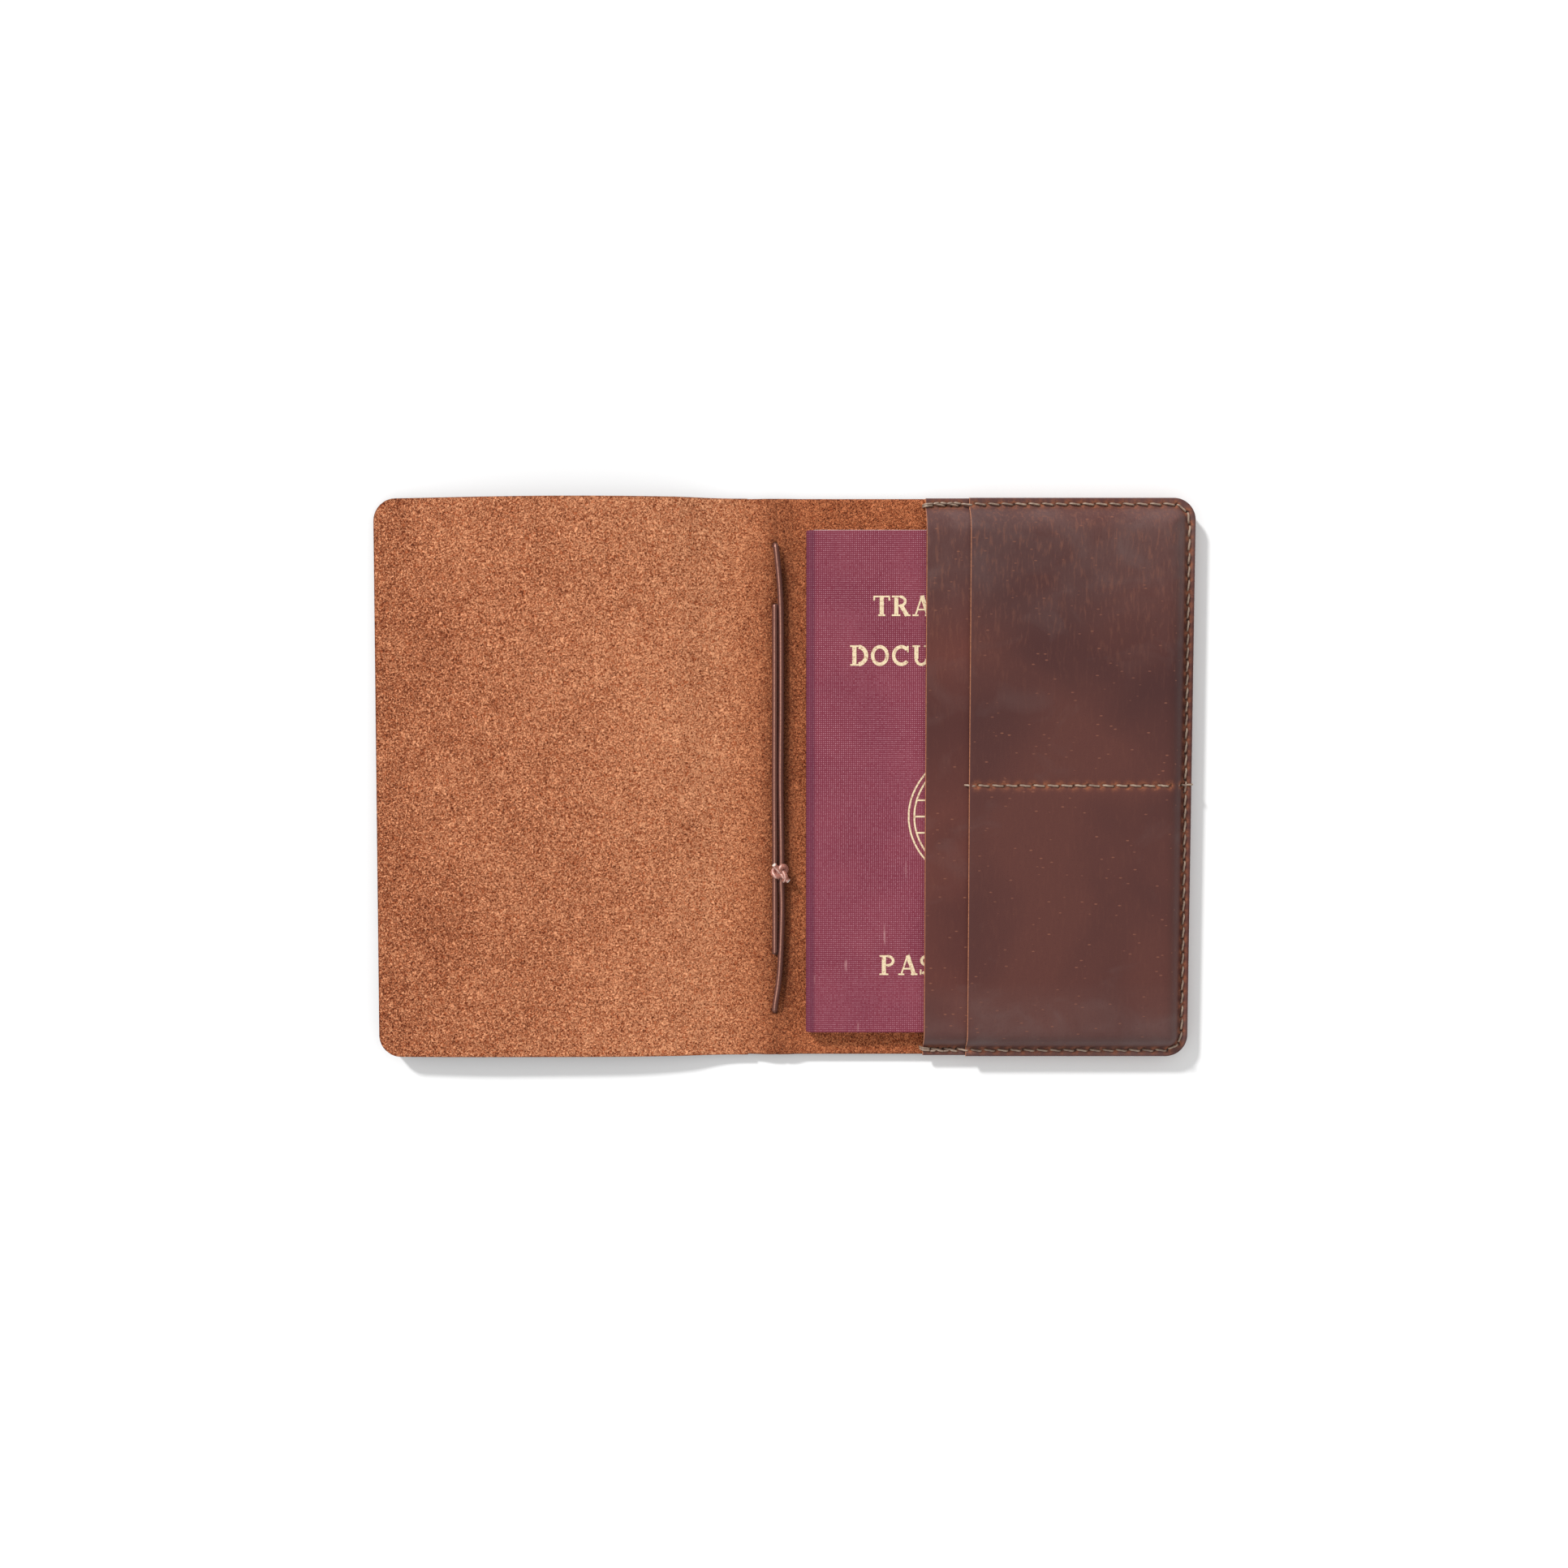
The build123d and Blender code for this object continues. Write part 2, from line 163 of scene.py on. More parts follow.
def sheet_plan(box, radii, across, up):
    """Plan grid of a cut sheet from lines across and up it: each row runs between the two outlines,
    which at a corner follow its arc, x = edge -/+ (radius - sqrt(radius^2 - overshoot^2))."""
    left, right, low, high = box
    y = low + up
    to_end = np.minimum(y - low, high - y)
    ends = []
    for radius in radii:
        over = np.clip(radius - to_end, 0, radius)
        ends.append(radius - np.sqrt(np.maximum(radius ** 2 - over ** 2, 0)))
    row_left, row_right = left + ends[0], right - ends[1]
    share = across / (right - left)
    x = row_left[:, None] + share[None, :] * (row_right - row_left)[:, None]
    return x, np.repeat(y[:, None], x.shape[1], 1)


def closed_sheet(name, plan, top, bottom, rounding, distance, joined="", marks=None, bend=None):
    """Closed leather sheet over a plan grid. Its half thickness falls to nothing at the cut edge
    as a quarter ellipse of the edge distance, so top and bottom meet in a rounded rim. A side
    named in joined, left or right, is where the hide runs on, and ends in a flat wall instead.
    All in millimetres; marks are further values kept for each vertex, and bend, if given, carries
    x, y and z arrays to their bent places."""
    x, y = plan
    inset = np.clip(distance / rounding, 0, 1)
    fullness = np.sqrt(np.maximum(1 - (1 - inset) ** 2, 0))
    rows, columns = x.shape
    border = np.zeros((rows, columns), bool)
    border[[0, -1], :] = True
    border[:, 0] |= "left" not in joined
    border[:, -1] |= "right" not in joined
    middle, half = (top + bottom) / 2, np.where(border, 0, (top - bottom) / 2 * fullness)
    points = np.stack([np.stack([x, y, middle + half], -1), np.stack([x, y, middle - half], -1)])
    index = np.arange(2 * rows * columns).reshape(2, rows, columns)
    index[1][border] = index[0][border]
    used, packed = np.unique(index, return_inverse=True)
    index = packed.reshape(index.shape)
    points = points.reshape(-1, 3)[used]
    edge = np.concatenate([distance.ravel(), distance.ravel()])[used]
    upper, lower = index

    def cells(grid):
        return np.stack([grid[:-1, :-1], grid[:-1, 1:], grid[1:, 1:], grid[1:, :-1]], -1).reshape(-1, 4)

    faces = [cells(upper), cells(lower)[:, ::-1]]
    sides = [0, 1]
    for side, column, order in (("left", 0, 1), ("right", -1, -1)):
        if side in joined:
            strip = np.stack([upper[:, column], lower[:, column]])
            faces.append(cells(strip)[1:-1, ::order])
            ends = np.array([[strip[0, 0], strip[0, 1], strip[1, 1]],
                             [strip[0, -2], strip[0, -1], strip[1, -2]]])
            faces.append(ends[:, ::-order])
            sides += [1, 1]
    laid = points.copy()
    if bend is not None:
        points = np.stack(bend(points[:, 0], points[:, 1], points[:, 2]), -1)
    piece = mesh_piece(name, points, *faces)
    face_side = np.repeat(sides, [len(group) for group in faces])
    piece.data.polygons.foreach_set("material_index", face_side.astype(np.int32))
    store(piece, "laid", laid * MM)
    store(piece, "edge", edge)
    for mark, values in (marks or {}).items():
        store(piece, mark, np.concatenate([values.ravel(), values.ravel()])[used])
    return piece


def mesh_piece(name, points, *faces):
    """Smooth-shaded mesh object from an array of points in millimetres and arrays of faces."""
    mesh = bpy.data.meshes.new(name)
    mesh.vertices.add(len(points))
    mesh.vertices.foreach_set("co", (points * MM).astype(np.float32).ravel())
    corners = np.concatenate([group.ravel() for group in faces])
    sizes = np.concatenate([np.full(len(group), group.shape[1]) for group in faces])
    mesh.loops.add(len(corners))
    mesh.loops.foreach_set("vertex_index", corners.astype(np.int32))
    mesh.polygons.add(len(sizes))
    starts = np.concatenate([[0], np.cumsum(sizes)[:-1]])
    mesh.polygons.foreach_set("loop_start", starts.astype(np.int32))
    mesh.update(calc_edges=True)
    mesh.polygons.foreach_set("use_smooth", np.ones(len(sizes), bool))
    piece = bpy.data.objects.new(name, mesh)
    bpy.context.scene.collection.objects.link(piece)
    return piece


def store(piece, name, values):
    """Keeps one number or one vector for each vertex, for the materials to read."""
    kind, key = ("FLOAT", "value") if values.ndim == 1 else ("FLOAT_VECTOR", "vector")
    attribute = piece.data.attributes.new(name, kind, "POINT")
    attribute.data.foreach_set(key, values.astype(np.float32).ravel())


def stored(tree, name, kind="Fac"):
    """Output of a stored vertex value."""
    return node(tree, "Attribute", {"attribute_name": name}, {}).outputs[kind]


def noise(tree, place, scale, detail=2.0, roughness=0.5, distortion=0.0):
    """Noise of a size given in millimetres."""
    made = node(tree, "TexNoise", {}, {
        "Vector": place, "Scale": 1 / (scale * MM), "Detail": detail,
        "Roughness": roughness, "Distortion": distortion,
    })
    return made.outputs["Fac"]


def ranged(tree, value, low, high, out_low=0.0, out_high=1.0):
    """A value taken from one range to another, held at both ends."""
    made = node(tree, "MapRange", {"clamp": True}, {
        "Value": value, "From Min": low, "From Max": high, "To Min": out_low, "To Max": out_high,
    })
    return made.outputs["Result"]


def worked(tree, operation, first, second=0.0):
    """Arithmetic on one value or two."""
    return node(tree, "Math", {"operation": operation}, {0: first, 1: second}).outputs[0]


def times(tree, first, second):
    """Product of two values."""
    return worked(tree, "MULTIPLY", first, second)


def plus(tree, first, second):
    """Sum of two values."""
    return worked(tree, "ADD", first, second)


def blended(tree, share, first, second):
    """Colour between first and second."""
    made = node(tree, "Mix", {"data_type": "RGBA"}, {0: share, 6: first, 7: second})
    return made.outputs[2]


def bumped(tree, height, strength, depth, under=None):
    """Surface normal from a height, its depth in millimetres."""
    inputs = {"Height": height, "Strength": strength, "Distance": depth * MM}
    if under is not None:
        inputs["Normal"] = under
    return node(tree, "Bump", {}, inputs).outputs["Normal"]


def stretched(tree, place, scale, turn=0.0):
    """Place stretched by the inverse of scale along each axis, turned about Z first."""
    inputs = {"Vector": place, "Scale": scale, "Rotation": (0, 0, turn)}
    return node(tree, "Mapping", {}, inputs).outputs[0]


def suede_material(name):
    """Suede: short curled fibres as the ridges of bent noise, over cloudy patches of nap. The open
    flap is pale tan and grows lighter towards the spine; from x = -16 mm to the crease it deepens to
    a darker orange brown, which the back cover keeps. Painted shade makes it darkest in the cord's
    holes, along the crease line and beside the cord, where the cord's shadow is painted on it."""
    made, tree, surface = new_material(name)
    place = stored(tree, "laid", "Vector")
    across = node(tree, "SeparateXYZ", {}, {0: place}).outputs["X"]
    curls = noise(tree, place, 0.85, 2.0, 0.5, 1.6)
    ridge = worked(tree, "ABSOLUTE", worked(tree, "SUBTRACT", curls, 0.5))
    fibre = ranged(tree, ridge, 0.0, 0.10, 1.0, 0.0)
    fine = noise(tree, place, 0.42, 1.0, 0.5, 0.8)
    nap = noise(tree, place, 9.0, 3.0, 0.55, 0.4)
    clouds = noise(tree, place, 34.0, 2.0, 0.5, 0.2)
    # The flap is made lighter towards the spine, from x = -98 mm to x = -18 mm.
    flap = ranged(tree, across, -0.098, -0.018, -0.06, 0.09)
    tone = plus(tree, times(tree, fibre, 0.50), times(tree, fine, 1.30))
    tone = plus(tree, tone, times(tree, nap, 0.16))
    tone = plus(tree, tone, times(tree, clouds, 0.14))
    tone = plus(tree, worked(tree, "SUBTRACT", tone, 0.33), flap)
    by_spine = ranged(tree, across, -0.017, -0.001)
    pale = blended(tree, by_spine, (1.0, 0.455, 0.235, 1), (0.74, 0.25, 0.105, 1))
    middle = blended(tree, by_spine, (0.49, 0.135, 0.052, 1), (0.31, 0.074, 0.026, 1))
    dark = blended(tree, by_spine, (0.105, 0.020, 0.007, 1), (0.060, 0.010, 0.004, 1))
    lower = blended(tree, ranged(tree, tone, 0.28, 0.64), dark, middle)
    colour = blended(tree, ranged(tree, tone, 0.62, 1.02), lower, pale)
    # Painted shade: near black in the holes and along the crease line, and the cord's painted shadow
    # beside the cord.
    rubbed = worked(tree, "MAXIMUM", stored(tree, "hole"), stored(tree, "rub"))
    colour = blended(tree, rubbed, colour, (0.040, 0.009, 0.004, 1))
    cut = ranged(tree, stored(tree, "edge"), 0.05, 0.45, 0.45, 0.0)
    colour = blended(tree, cut, colour, (0.10, 0.022, 0.008, 1))
    tree.links.new(colour, surface.inputs["Base Color"])
    surface.inputs["Roughness"].default_value = 0.95
    surface.inputs["Specular IOR Level"].default_value = 0.10
    surface.inputs["Sheen Weight"].default_value = 0.10
    surface.inputs["Sheen Roughness"].default_value = 0.5
    surface.inputs["Sheen Tint"].default_value = (0.9, 0.55, 0.36, 1)
    rise = plus(tree, times(tree, fibre, 0.6), fine)
    tree.links.new(bumped(tree, rise, 1.0, 0.30), surface.inputs["Normal"])
    return made


suede_inside = suede_material("suede_inside")


def grain_material(name, tan, brown, deep, bloom):
    """Waxed pull-up leather: broad soft clouds of brown, a grey bloom of wax, greyer towards both
    ends with a painted sheen at the top, hair streaks where it is stretched at the top, fine pores,
    short raised tan dashes of the hair roots, a tan line on a mouth's cut edge that is the colour of
    the bare cut edge with a painted highlight on its rim, burnished dark outer edges, and dark
    slits painted as shade where the needle went in."""
    made, tree, surface = new_material(name)
    place = stored(tree, "laid", "Vector")
    up = node(tree, "SeparateXYZ", {}, {0: place}).outputs["Y"]
    clouds = noise(tree, place, 42.0, 2.0, 0.5, 0.4)
    patches = noise(tree, stretched(tree, place, (1.0, 1.3, 1.0), 0.5), 15.0, 3.0, 0.55, 0.6)
    streaks = noise(tree, stretched(tree, place, (1.0, 0.22, 1.0), 0.42), 0.75, 2.0, 0.6, 0.4)
    pores = noise(tree, place, 0.55, 2.0, 0.6, 0.3)
    roots = node(tree, "TexVoronoi", {}, {
        "Vector": stretched(tree, place, (0.40, 1.0, 1.0), 0.25),
        "Scale": 1 / (1.5 * MM), "Randomness": 1.0})
    root = ranged(tree, roots.outputs["Distance"], 0.07, 0.13, 1.0, 0.0)
    colour = blended(tree, ranged(tree, clouds, 0.36, 0.64), deep, brown)
    colour = blended(tree, ranged(tree, patches, 0.56, 0.84, 0.0, 0.30), colour, bloom)
    # Greyer towards the top and bottom ends: wax bloom, with a painted sheen at the top.
    ends = worked(tree, "MAXIMUM", ranged(tree, up, 0.034, 0.060), ranged(tree, up, -0.050, -0.064))
    bloom_and_sheen = times(tree, ends, ranged(tree, patches, 0.30, 0.72, 0.10, 0.55))
    colour = blended(tree, bloom_and_sheen, colour, bloom)
    top_streak = ranged(tree, up, 0.022, 0.058, 0.06, 0.42)
    light_streak = times(tree, ranged(tree, streaks, 0.52, 0.74), top_streak)
    colour = blended(tree, light_streak, colour, tan)
    dark_streak = times(tree, ranged(tree, streaks, 0.46, 0.28), top_streak)
    colour = blended(tree, times(tree, dark_streak, 0.6), colour, deep)
    colour = blended(tree, ranged(tree, pores, 0.56, 0.76, 0.0, 0.30), colour, deep)
    root_share = times(tree, root, ranged(tree, patches, 0.3, 0.65, 0.9, 0.35))
    colour = blended(tree, root_share, colour, tan)
    edge = stored(tree, "edge")
    colour = blended(tree, ranged(tree, edge, 0.05, 0.8, 0.6, 0.0), colour, deep)
    # A tan line on each mouth's cut edge: the colour of the bare cut edge, with a painted highlight on
    # its rounded rim, which faces the light.
    raw_edge_and_highlight = ranged(tree, stored(tree, "mouth"), 0.55, 0.85)
    raw_edge_and_highlight = times(tree, raw_edge_and_highlight, ranged(tree, pores, 0.30, 0.60, 0.5, 1.0))
    colour = blended(tree, raw_edge_and_highlight, colour, (0.46, 0.19, 0.10, 1))
    pull = times(tree, stored(tree, "pull"), ranged(tree, pores, 0.35, 0.60, 0.25, 1.0))
    colour = blended(tree, pull, colour, (0.42, 0.135, 0.055, 1))
    # Painted shade: near black in the needle slits, the cord's holes and along the crease line.
    colour = blended(tree, stored(tree, "hole"), colour, (0.010, 0.004, 0.003, 1))
    tree.links.new(colour, surface.inputs["Base Color"])
    tree.links.new(ranged(tree, patches, 0.3, 0.8, 0.60, 0.50), surface.inputs["Roughness"])
    surface.inputs["Specular IOR Level"].default_value = 0.24
    rise = plus(tree, times(tree, pores, 0.6), times(tree, streaks, 0.3))
    rise = plus(tree, rise, times(tree, root, 0.3))
    tree.links.new(bumped(tree, rise, 0.5, 0.09), surface.inputs["Normal"])
    return made


grain_outside = grain_material(
    "grain_outside", (0.28, 0.105, 0.055, 1), (0.140, 0.043, 0.029, 1), (0.062, 0.020, 0.016, 1),
    (0.13, 0.076, 0.066, 1))

front_low, front_high = (np.array(corner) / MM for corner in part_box("front_cover"))
back_low, back_high = (np.array(corner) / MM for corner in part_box("back_cover"))
spine_low, spine_high = (np.array(corner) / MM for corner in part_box("spine_strip"))
leather_top = front_high[2]
corner_radius = 5.5
leather_rim = 0.7
front_crease = (front_high[0] + spine_low[0]) / 2
back_crease = (spine_high[0] + back_low[0]) / 2
spine_middle = (front_crease + back_crease) / 2
front_flat = front_crease - 4.0


def front_arch(x, y):
    """Height of the front cover off the table: nothing by the spine, then a long low hump that has
    its crest nearer the spine at the top edge, and a lower left corner that stays lifted."""
    away = np.clip((front_flat - x) / (front_flat - front_low[0]), 0, 1)
    across = np.clip((y - front_low[1]) / (front_high[1] - front_low[1]), 0, 1)
    ease = np.clip(away / 0.20, 0, 1)
    ease = ease * ease * (3 - 2 * ease)
    top_hump = 5.6 * np.sin(np.pi * away ** 0.80) ** 1.2
    low_hump = 2.3 * np.sin(np.pi * away ** 0.95) ** 1.1 + 2.4 * away ** 2
    wave = 0.25 * np.sin(2 * np.pi * (1.3 * away + 0.35 * across)) * np.sin(np.pi * away)
    return spine_lift(x) + ease * (low_hump + (top_hump - low_hump) * across + wave)


def spine_lift(x):
    """The stiff creases hold the middle of the open hide a little off the table, by a flat-topped
    bell that has died away before the booklet and before the front cover."""
    return 0.55 * np.exp(-((x + 2.0) / 4.6) ** 4)


square = 0.01
front_box = (front_low[0], front_flat, front_low[1], front_high[1])
front_plan = sheet_plan(front_box, (corner_radius, square),
                        spread_lines(front_flat - front_low[0], 0.8, leather_rim),
                        spread_lines(front_high[1] - front_low[1], 0.8, leather_rim))
front_outline = (front_low[0], back_high[0], front_low[1], front_high[1])
front_distance = rounded_distance(*front_plan, front_outline, (corner_radius, corner_radius))
front_top = front_arch(*front_plan) + leather_top
front_points = np.stack([front_plan[0], front_plan[1], front_top], -1)
front_index = np.arange(front_top.size).reshape(front_top.shape)
front_quads = np.stack([front_index[:-1, :-1], front_index[:-1, 1:],
                        front_index[1:, 1:], front_index[1:, :-1]], -1).reshape(-1, 4)
front_cover = mesh_piece("front_cover_leather", front_points.reshape(-1, 3), front_quads)
store(front_cover, "laid", front_points.reshape(-1, 3) * MM)
store(front_cover, "edge", front_distance.ravel())
front_cover.data.materials.append(suede_inside)
front_cover.data.materials.append(grain_outside)
hide = front_cover.modifiers.new("hide_thickness", "SOLIDIFY")
hide.thickness = leather_top * MM
hide.offset = -1
hide.use_even_offset = False
hide.material_offset = 1
hide.material_offset_rim = 1
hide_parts("front_cover")
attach(front_cover, "front")
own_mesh(front_cover)

# ---------------------------------------------------------------------------------------------
# Spine, front crease: the same hide running on from the front cover to the middle of the spine,
# creased along the middle of the spine.
# ---------------------------------------------------------------------------------------------

elastic_hole_x = -2.1
elastic_hole_y = (58.3, 43.2, -43.2, -58.3)
crease_box = (front_flat, spine_middle, front_low[1], front_high[1])
crease_plan = sheet_plan(crease_box, (square, square),
                         spread_lines(spine_middle - front_flat, 0.3, 0.1),
                         spread_lines(front_high[1] - front_low[1], 0.4, leather_rim))
crease_distance = rounded_distance(*crease_plan, front_outline, (corner_radius, corner_radius))


def paint_cord_shadow(x, y):
    """Painted shadow of the cord on the suede, most on its right, away from the light, by a product
    of bell curves across it and a soft end beyond its outer holes."""
    side = np.where(x > -0.6, np.exp(-((x + 0.6) / 3.0) ** 2), np.exp(-((x + 0.6) / 5.5) ** 2))
    reach = np.clip((62.0 - np.abs(y)) / 12.0, 0, 1)
    return side * (0.22 + 0.40 * reach * (x > -0.6) + 0.18 * reach)


# Painted shade: the suede and the grain are painted dark in the cord's holes and along the crease line,
# and the suede with the cord's shadow beside it.
crease_holes = np.zeros_like(crease_distance)
for hole_y in elastic_hole_y:
    reach = np.hypot(crease_plan[0] - elastic_hole_x, crease_plan[1] - hole_y) / 1.05
    crease_holes = np.maximum(crease_holes, np.exp(-reach ** 4))
crease_line = np.exp(-((crease_plan[0] - spine_middle + 0.2) / 0.45) ** 2)
crease_lift = spine_lift(crease_plan[0])
crease_top = crease_lift + leather_top - 0.30 * crease_holes - 0.18 * crease_line
crease_piece = closed_sheet("spine_front_leather", crease_plan, crease_top,
                            crease_lift, leather_rim, crease_distance,
                            "left right", {"hole": np.maximum(crease_holes, 0.4 * crease_line),
                                           "rub": paint_cord_shadow(*crease_plan)})
crease_piece.data.materials.append(suede_inside)
crease_piece.data.materials.append(grain_outside)
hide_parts("spine_strip")
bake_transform(crease_piece)

# ---------------------------------------------------------------------------------------------
# Back cover: the right half of the same hide, from the middle of the spine round to the sewn
# edge. It lies flat under the pockets, and its inside has painted shade along the spine crease and a
# painted shadow beside the cord.
# ---------------------------------------------------------------------------------------------

pocket_low, pocket_high = (np.array(corner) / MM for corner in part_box("passport_pocket"))
card_low, card_high = (np.array(corner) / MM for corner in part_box("card_pocket"))
seam_inset = 1.65
first_hole = 1.8
seam_pitch = 3.33
seam_turn = np.linspace(0, np.pi / 2, 40)
seam_radius = corner_radius - seam_inset
seam_corner = np.array([back_high[0] - corner_radius, back_high[1] - corner_radius])
seam_start = np.array([pocket_low[0] + first_hole, back_high[1] - seam_inset])
seam_bend = seam_corner + seam_radius * np.stack([np.sin(seam_turn), np.cos(seam_turn)], -1)
seam_half = np.vstack([seam_start, seam_bend])
seam_line = np.vstack([seam_half, seam_half[::-1] * (1, -1)])
seam_travel = np.concatenate([[0], np.cumsum(np.hypot(*np.diff(seam_line, axis=0).T))])
seam_count = int(round(seam_travel[-1] / seam_pitch)) + 1


def on_seam(travel):
    """Places on the seam at distances along it, and its direction there."""
    place = np.stack([np.interp(travel, seam_travel, seam_line[:, axis]) for axis in (0, 1)], -1)
    ahead = np.stack([np.interp(travel + 0.2, seam_travel, seam_line[:, axis]) for axis in (0, 1)], -1)
    behind = np.stack([np.interp(travel - 0.2, seam_travel, seam_line[:, axis]) for axis in (0, 1)], -1)
    along = ahead - behind
    return place, along / np.hypot(*along.T)[:, None]


seam_stops = np.linspace(0, seam_travel[-1], seam_count)
# Holes of the stitches worked back over each end.
extra_stops = np.array([0.55, 1.45]) * seam_travel[-1] / (seam_count - 1)
seam_holes, seam_along = on_seam(
    np.concatenate([seam_stops, extra_stops, seam_travel[-1] - extra_stops]))
divider_y = -1.2
divider_pitch = 3.4
divider_count = 18
divider_x = card_low[0] - 1.4 + divider_pitch * np.arange(divider_count)
divider_x[-1] = back_high[0] - seam_inset + 0.25  # the last hole is on the outer seam
divider_holes = np.stack([divider_x, np.full(divider_count, divider_y)], -1)


def needle_marks(x, y, holes, along):
    """Marks left by the needle, from the nearest hole: how dark the slanted slit is painted, as shade
    in its opening, how far the leather is drawn down, exp(-(distance / 0.75)^2), and how far it is
    stretched pale beside it."""
    slit, drawn = np.full(x.shape, 9.0), np.full(x.shape, 9.0)
    slant = math.radians(52)
    for (hole_x, hole_y), (dir_x, dir_y) in zip(holes, along):
        reach_x, reach_y = x - hole_x, y - hole_y
        forward = reach_x * dir_x + reach_y * dir_y
        sideways = reach_y * dir_x - reach_x * dir_y
        length = forward * math.cos(slant) + sideways * math.sin(slant)
        width = sideways * math.cos(slant) - forward * math.sin(slant)
        slit = np.minimum(slit, (length / 0.70) ** 2 + (width / 0.34) ** 2)
        drawn = np.minimum(drawn, reach_x ** 2 + reach_y ** 2)
    return np.exp(-slit ** 2), np.exp(-drawn / 0.75 ** 2), 0.9 * np.exp(-drawn / 0.95 ** 2)


back_box = (spine_middle, back_high[0], back_low[1], back_high[1])
back_size = (back_high[0] - spine_middle, back_high[1] - back_low[1])
back_plan = sheet_plan(back_box, (square, corner_radius),
                       spread_lines(back_size[0], 1.0, leather_rim,
                                    [(3.5, 2.5, 0.4), (back_size[0] - 1.6, 1.2, 0.4)]),
                       spread_lines(back_size[1], 1.0, leather_rim,
                                    [(1.6, 1.2, 0.4), (back_size[1] - 1.6, 1.2, 0.4)]))
back_distance = rounded_distance(*back_plan, front_outline, (corner_radius, corner_radius))
back_slit, back_drawn, back_pull = needle_marks(*back_plan, seam_holes, seam_along)
sewn = back_plan[0] > 30.0
back_lift = spine_lift(back_plan[0])
# Painted shade: a dark line along the spine crease and dark needle slits, and the cord's painted
# shadow.
back_line = np.exp(-((back_plan[0] - spine_middle + 0.2) / 0.45) ** 2)
back_cover = closed_sheet("back_cover_leather", back_plan,
                          back_lift + leather_top - 0.18 * back_line, back_lift + 0.25 * back_drawn,
                          leather_rim, back_distance,
                          "left", {"hole": np.maximum(back_slit * sewn, 0.4 * back_line),
                                   "rub": paint_cord_shadow(*back_plan),
                                   "pull": 0.6 * back_pull * sewn})
back_cover.data.materials.append(suede_inside)
back_cover.data.materials.append(grain_outside)
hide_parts("back_cover", "spine_strip")
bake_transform(back_cover)

# ---------------------------------------------------------------------------------------------
# Passport pocket: a waxed leather panel formed over the booklet, sewn to the back cover on three
# sides through a flat margin, and open towards the spine.
# ---------------------------------------------------------------------------------------------

panel_thickness = 1.1
flat_margin = 2.45
pocket_flat = pocket_low[2] + panel_thickness
pocket_rise = pocket_high[2] - pocket_flat
sewn_outline = (-back_high[0], back_high[0], back_low[1], back_high[1])


def formed_rise(x, y):
    """Share of the full rise of a formed panel: none on the sewn margin, then 1 - (1 - share)^2.6 over
    a run that is longer at the head, where the booklet stops farther from the seam."""
    run = np.interp(y, [50.0, 62.0], [5.3, 7.0])
    share = (rounded_distance(x, y, sewn_outline, (corner_radius, corner_radius)) - flat_margin) / run
    return 1 - (1 - np.clip(share, 0, 1)) ** 2.6


slot_half = back_high[1] - flat_margin - 4.6


def panel_sag(x, y):
    """Sag of both panels over the booklet, 0.12 mm, as the square of a cosine from sewn end to
    sewn end, dying away from the mouth as exp(-(distance / 30)^2)."""
    return 0.12 * np.cos(np.clip(y / slot_half, -1, 1) * np.pi / 2) ** 2 * np.exp(
        -((x - pocket_low[0]) / 30.0) ** 2)


def pocket_top(x, y):
    """Top of the pocket panel: the formed rise less the sag, with one soft wave at the mouth."""
    wave = 0.10 * np.sin(2 * np.pi * y / 46.0 + 0.6) * np.exp(-((x - pocket_low[0]) / 14.0) ** 2)
    return pocket_flat + formed_rise(x, y) * (pocket_rise - panel_sag(x, y) + wave)


pocket_grain = grain_material(
    "pocket_grain", (0.25, 0.094, 0.055, 1), (0.126, 0.036, 0.027, 1), (0.070, 0.020, 0.017, 1),
    (0.150, 0.086, 0.078, 1))


def mouth_edge(x, left):
    """One on the cut edge of a mouth, falling to nothing 0.45 mm in from it."""
    return np.clip(1 - (x - left) / 0.45, 0, 1)


pocket_box = (pocket_low[0], back_high[0], back_low[1], back_high[1])
pocket_size = (back_high[0] - pocket_low[0], back_size[1])
pocket_plan = sheet_plan(pocket_box, (square, corner_radius),
                         spread_lines(pocket_size[0], 0.8, 0.5, [(5.0, 8.0, 0.35)]),
                         spread_lines(pocket_size[1], 0.8, 0.5,
                                      [(2.6, 2.4, 0.22), (pocket_size[1] - 2.6, 2.4, 0.22)]))
pocket_distance = rounded_distance(*pocket_plan, pocket_box, (square, corner_radius))
pocket_slit, pocket_drawn, pocket_pull = needle_marks(*pocket_plan, seam_holes, seam_along)
sewn_distance = rounded_distance(*pocket_plan, sewn_outline, (corner_radius, corner_radius))
pocket_furrow = 0.10 * np.exp(-((sewn_distance - seam_inset) / 0.8) ** 2)
pocket_base = pocket_top(*pocket_plan)
pocket_panel = closed_sheet("passport_pocket_leather", pocket_plan,
                            pocket_base - 0.22 * pocket_drawn - pocket_furrow,
                            pocket_base - panel_thickness, 0.5, pocket_distance, "",
                            {"hole": pocket_slit, "pull": pocket_pull,
                             "mouth": mouth_edge(pocket_plan[0], pocket_low[0])})
pocket_panel.data.materials.append(pocket_grain)
pocket_panel.data.materials.append(suede_inside)
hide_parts("passport_pocket")
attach(pocket_panel, "back")

# ---------------------------------------------------------------------------------------------
# Card pocket: a second, shorter panel laid over the first and caught in the same seam, with a
# cross seam that makes two card slots of it.
# ---------------------------------------------------------------------------------------------

card_flat = card_low[2] + panel_thickness
card_rise = card_high[2] - card_flat


